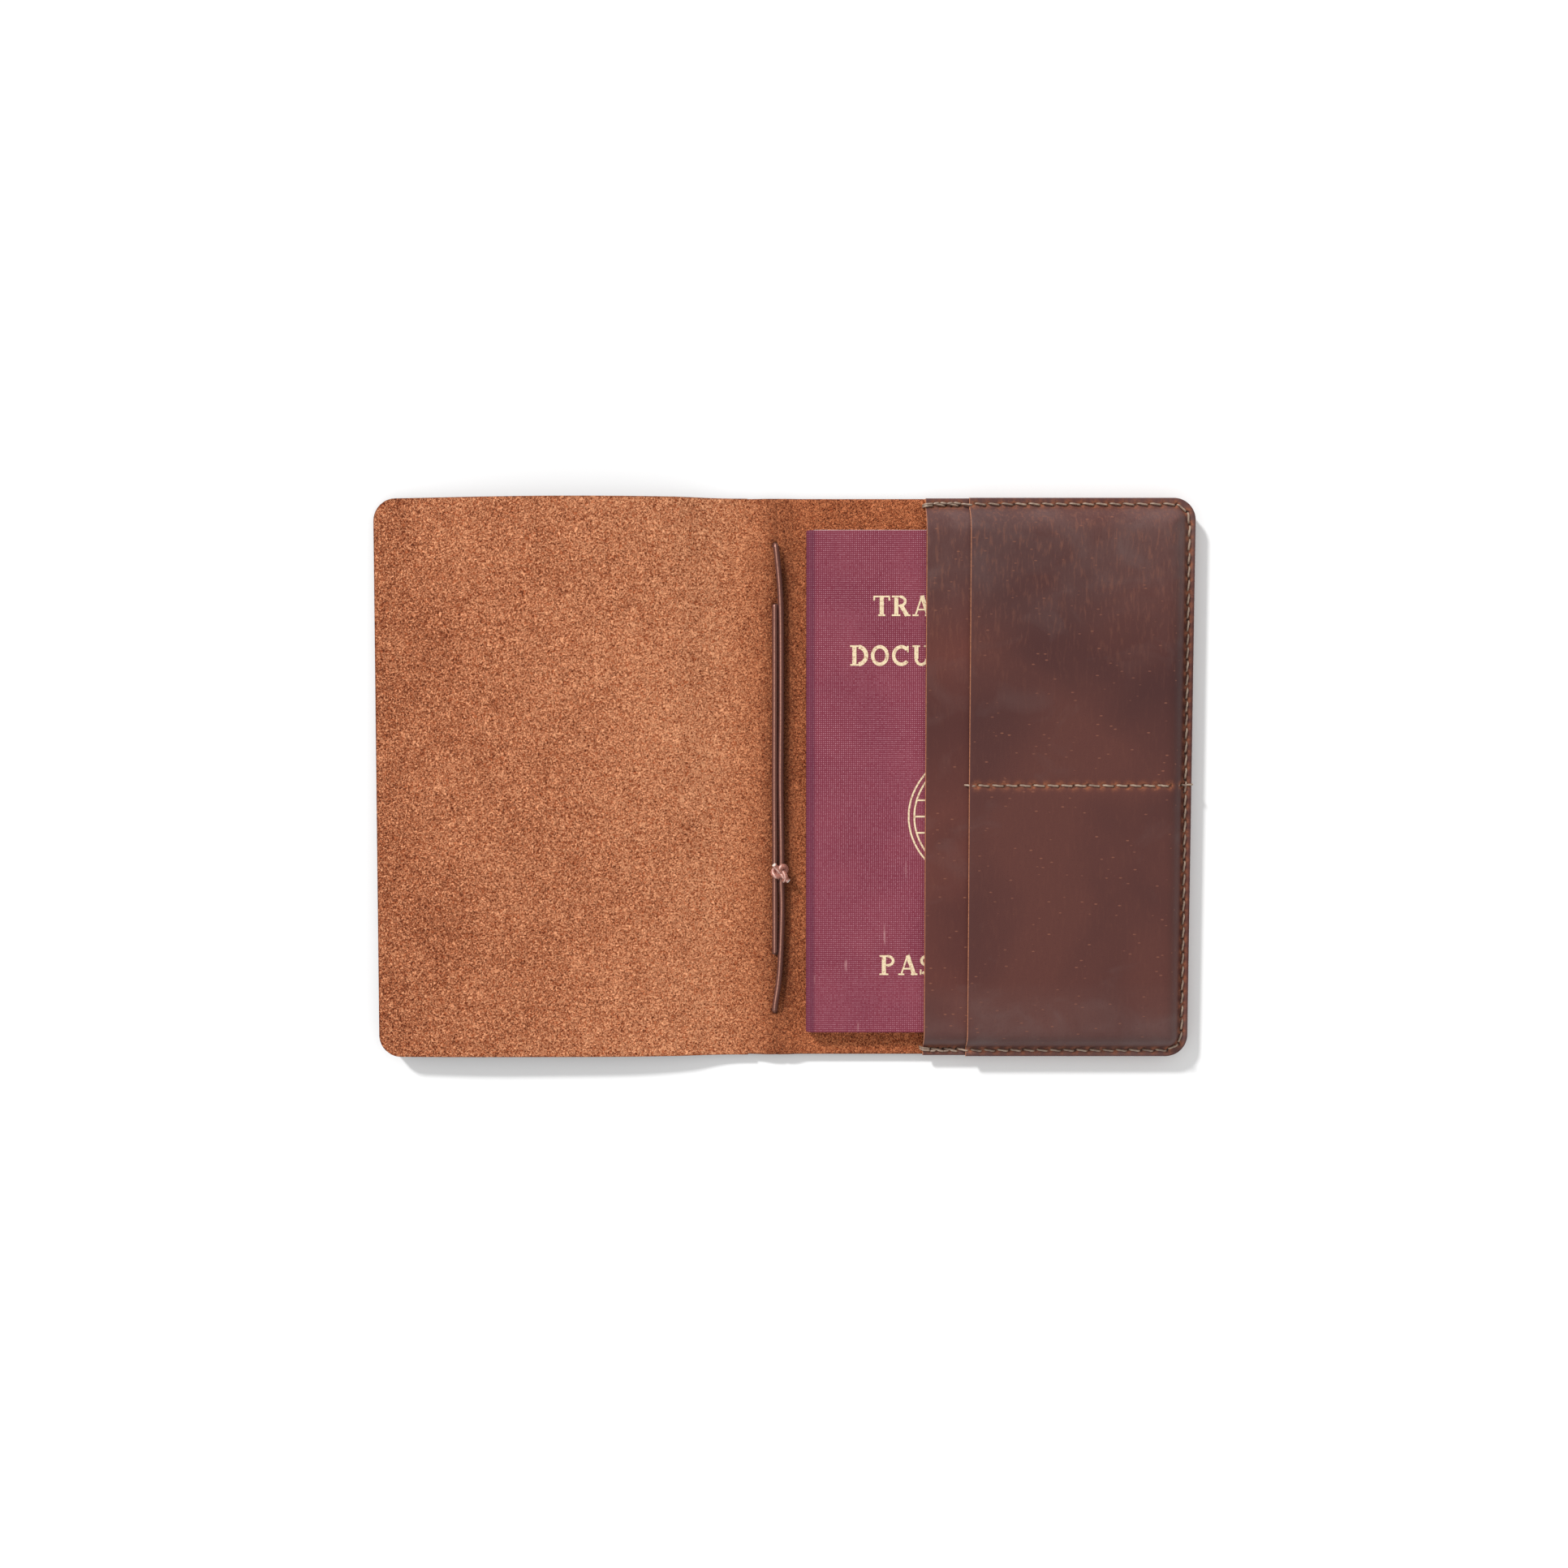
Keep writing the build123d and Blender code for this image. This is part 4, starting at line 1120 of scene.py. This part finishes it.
def bow(centre_x, centre_y, reach_x, reach_y, start, end):
    """Arc of an ellipse between two angles in degrees, in letter units."""
    turn = np.radians(np.linspace(start, end, 25))
    return [(centre_x + reach_x * math.cos(a), centre_y + reach_y * math.sin(a)) for a in turn]


def foil_bands(name, lines, widths):
    """Flat foil strips along plan lines: each point is moved half a width to both sides of its
    heading, and neighbouring pairs are joined in quads."""
    points, faces, start = [], [], 0
    for line, width in zip(lines, widths):
        heading = np.gradient(line, axis=0)
        heading /= np.hypot(*heading.T)[:, None]
        side = np.stack([-heading[:, 1], heading[:, 0]], -1) * width / 2
        points.append(np.vstack([line + side, line - side]))
        row = np.arange(len(line) - 1) + start
        faces.append(np.stack([row, row + len(line), row + len(line) + 1, row + 1], -1))
        start += 2 * len(line)
    flat = np.vstack(points)
    order = np.repeat(np.arange(len(lines)), [len(part) for part in points])
    flat = np.column_stack([flat, foil_z + foil_thickness + 0.002 * order % 0.02])
    piece = mesh_piece(name, flat, *faces)
    store(piece, "laid", flat * MM)
    return piece


thick, thin = 0.20, 0.08
foot, head = 0.04, 0.96


def stem(x):
    """Broad upright stroke of a letter."""
    return thick, [(x, 0), (x, 1)]


def bar(left, right, level):
    """Fine level stroke or slab foot of a letter."""
    return thin, [(left, level), (right, level)]


def tip(x, start, end):
    """Fine upright stroke of a letter."""
    return thin, [(x, start), (x, end)]


# Each letter's advance to the next, then its strokes in letter units.
letter_strokes = {
    "T": (0.86, [stem(0.4), bar(0.0, 0.8, head), bar(0.22, 0.58, foot), tip(0.03, 0.99, 0.76),
                 tip(0.77, 0.99, 0.76)]),
    "R": (0.98, [stem(0.22), bar(0.0, 0.42, foot), bar(0.0, 0.4, head),
                 (0.13, bow(0.40, 0.73, 0.26, 0.22, 90, -90)),
                 (thick, [(0.46, 0.52), (0.76, 0.02)]), bar(0.62, 0.92, foot),
                 bar(0.22, 0.42, 0.51)]),
    "A": (1.02, [(thin, [(0.14, 0.0), (0.46, 1.0)]), (thick, [(0.46, 1.0), (0.80, 0.0)]),
                 bar(0.24, 0.68, 0.32), bar(0.0, 0.30, foot), bar(0.62, 0.96, foot)]),
    "V": (0.98, [(thick, [(0.14, 1.0), (0.46, 0.0)]), (thin, [(0.46, 0.0), (0.78, 1.0)]),
                 bar(0.0, 0.32, head), bar(0.62, 0.92, head)]),
    "E": (0.86, [stem(0.22), bar(0.0, 0.76, foot), bar(0.0, 0.74, head), bar(0.22, 0.58, 0.51),
                 tip(0.76, 0.02, 0.26), tip(0.72, 0.98, 0.76)]),
    "L": (0.84, [stem(0.22), bar(0.0, 0.76, foot), bar(0.0, 0.44, head), tip(0.76, 0.02, 0.28)]),
    "D": (1.00, [stem(0.22), (thick, bow(0.36, 0.5, 0.44, 0.44, 80, -80)), bar(0.0, 0.44, foot),
                 bar(0.0, 0.44, head)]),
    "O": (1.00, [(0.17, bow(0.44, 0.5, 0.36, 0.43, 0, 360))]),
    "C": (0.96, [(0.17, bow(0.46, 0.5, 0.38, 0.43, 40, 320)), tip(0.78, 0.98, 0.66)]),
    "U": (0.98, [(thick, [(0.20, 1.0), (0.20, 0.34)]),
                 (0.14, bow(0.45, 0.34, 0.26, 0.28, 180, 360)), tip(0.72, 0.34, 1.0),
                 bar(0.0, 0.38, head), bar(0.58, 0.86, head)]),
    "M": (1.22, [tip(0.18, 0, 1), (thick, [(0.18, 1.0), (0.56, 0.06)]),
                 (thin, [(0.56, 0.06), (0.92, 1.0)]), stem(0.94), bar(0.0, 0.34, foot),
                 bar(0.76, 1.12, foot)]),
    "N": (1.04, [tip(0.18, 0, 1), (thick, [(0.18, 1.0), (0.76, 0.0)]), tip(0.78, 0, 1),
                 bar(0.0, 0.34, foot), bar(0.62, 0.94, head)]),
    "P": (0.90, [stem(0.22), (0.13, bow(0.40, 0.72, 0.28, 0.23, 90, -90)), bar(0.0, 0.44, foot),
                 bar(0.0, 0.42, head), bar(0.22, 0.42, 0.50)]),
    "S": (0.80, [(0.14, bow(0.36, 0.73, 0.26, 0.22, 40, 270)),
                 (0.14, bow(0.36, 0.29, 0.28, 0.22, 90, -140)), tip(0.60, 0.98, 0.74),
                 tip(0.06, 0.02, 0.28)]),
}


def stamped_word(name, word, height, left, low):
    """Foil letters with slab feet, drawn as broad and fine strokes of a given height, the first at
    left and low."""
    lines, widths, reach = [], [], left
    for letter in word:
        advance, strokes = letter_strokes[letter]
        for width, stroke in strokes:
            lines.append(np.array(stroke) * height + (reach, low))
            widths.append(width * height)
        reach += (advance + 0.04) * height
    return foil_bands(name, lines, widths)


globe_centre = np.array([(book_low[0] + book_high[0]) / 2 + 1.5, -9.0])
globe_half = np.array([20.0, 17.5])
globe_turn = np.linspace(0, 2 * np.pi, 121)
globe_ring = np.stack([np.cos(globe_turn), np.sin(globe_turn)], -1)
globe_inner = 0.93
# A double outline, then meridians as narrower ellipses and parallels as level chords.
globe_lines = [globe_centre + share * globe_half * globe_ring for share in (1.0, globe_inner)]
for width_share in (0.25, 0.5, 0.75):
    globe_lines.append(
        globe_centre + globe_half * (globe_inner * width_share, globe_inner) * globe_ring)
for height_share in (-0.75, -0.5, -0.25, 0.0, 0.25, 0.5, 0.75):
    chord = globe_inner * math.sqrt(1 - height_share ** 2)
    globe_lines.append(globe_centre + globe_half * np.stack(
        [np.linspace(-chord, chord, 41), np.full(41, globe_inner * height_share)], -1))
foil_pieces = [
    stamped_word("foil_word_upper", "TRAVEL", 5.0, 22.2, 40.6),
    stamped_word("foil_word_lower", "DOCUMENT", 5.0, 16.4, 28.4),
    stamped_word("foil_word_foot", "PASSPORT", 5.0, 24.0, -48.8),
    foil_bands("foil_globe", globe_lines, [0.42] * len(globe_lines)),
]
for piece in foil_pieces:
    piece.data.shade_flat()
    thickening = piece.modifiers.new("thickness", "SOLIDIFY")
    thickening.thickness = foil_thickness * MM
    thickening.offset = -1
    piece.data.materials.append(foil)
    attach(piece, "passport")
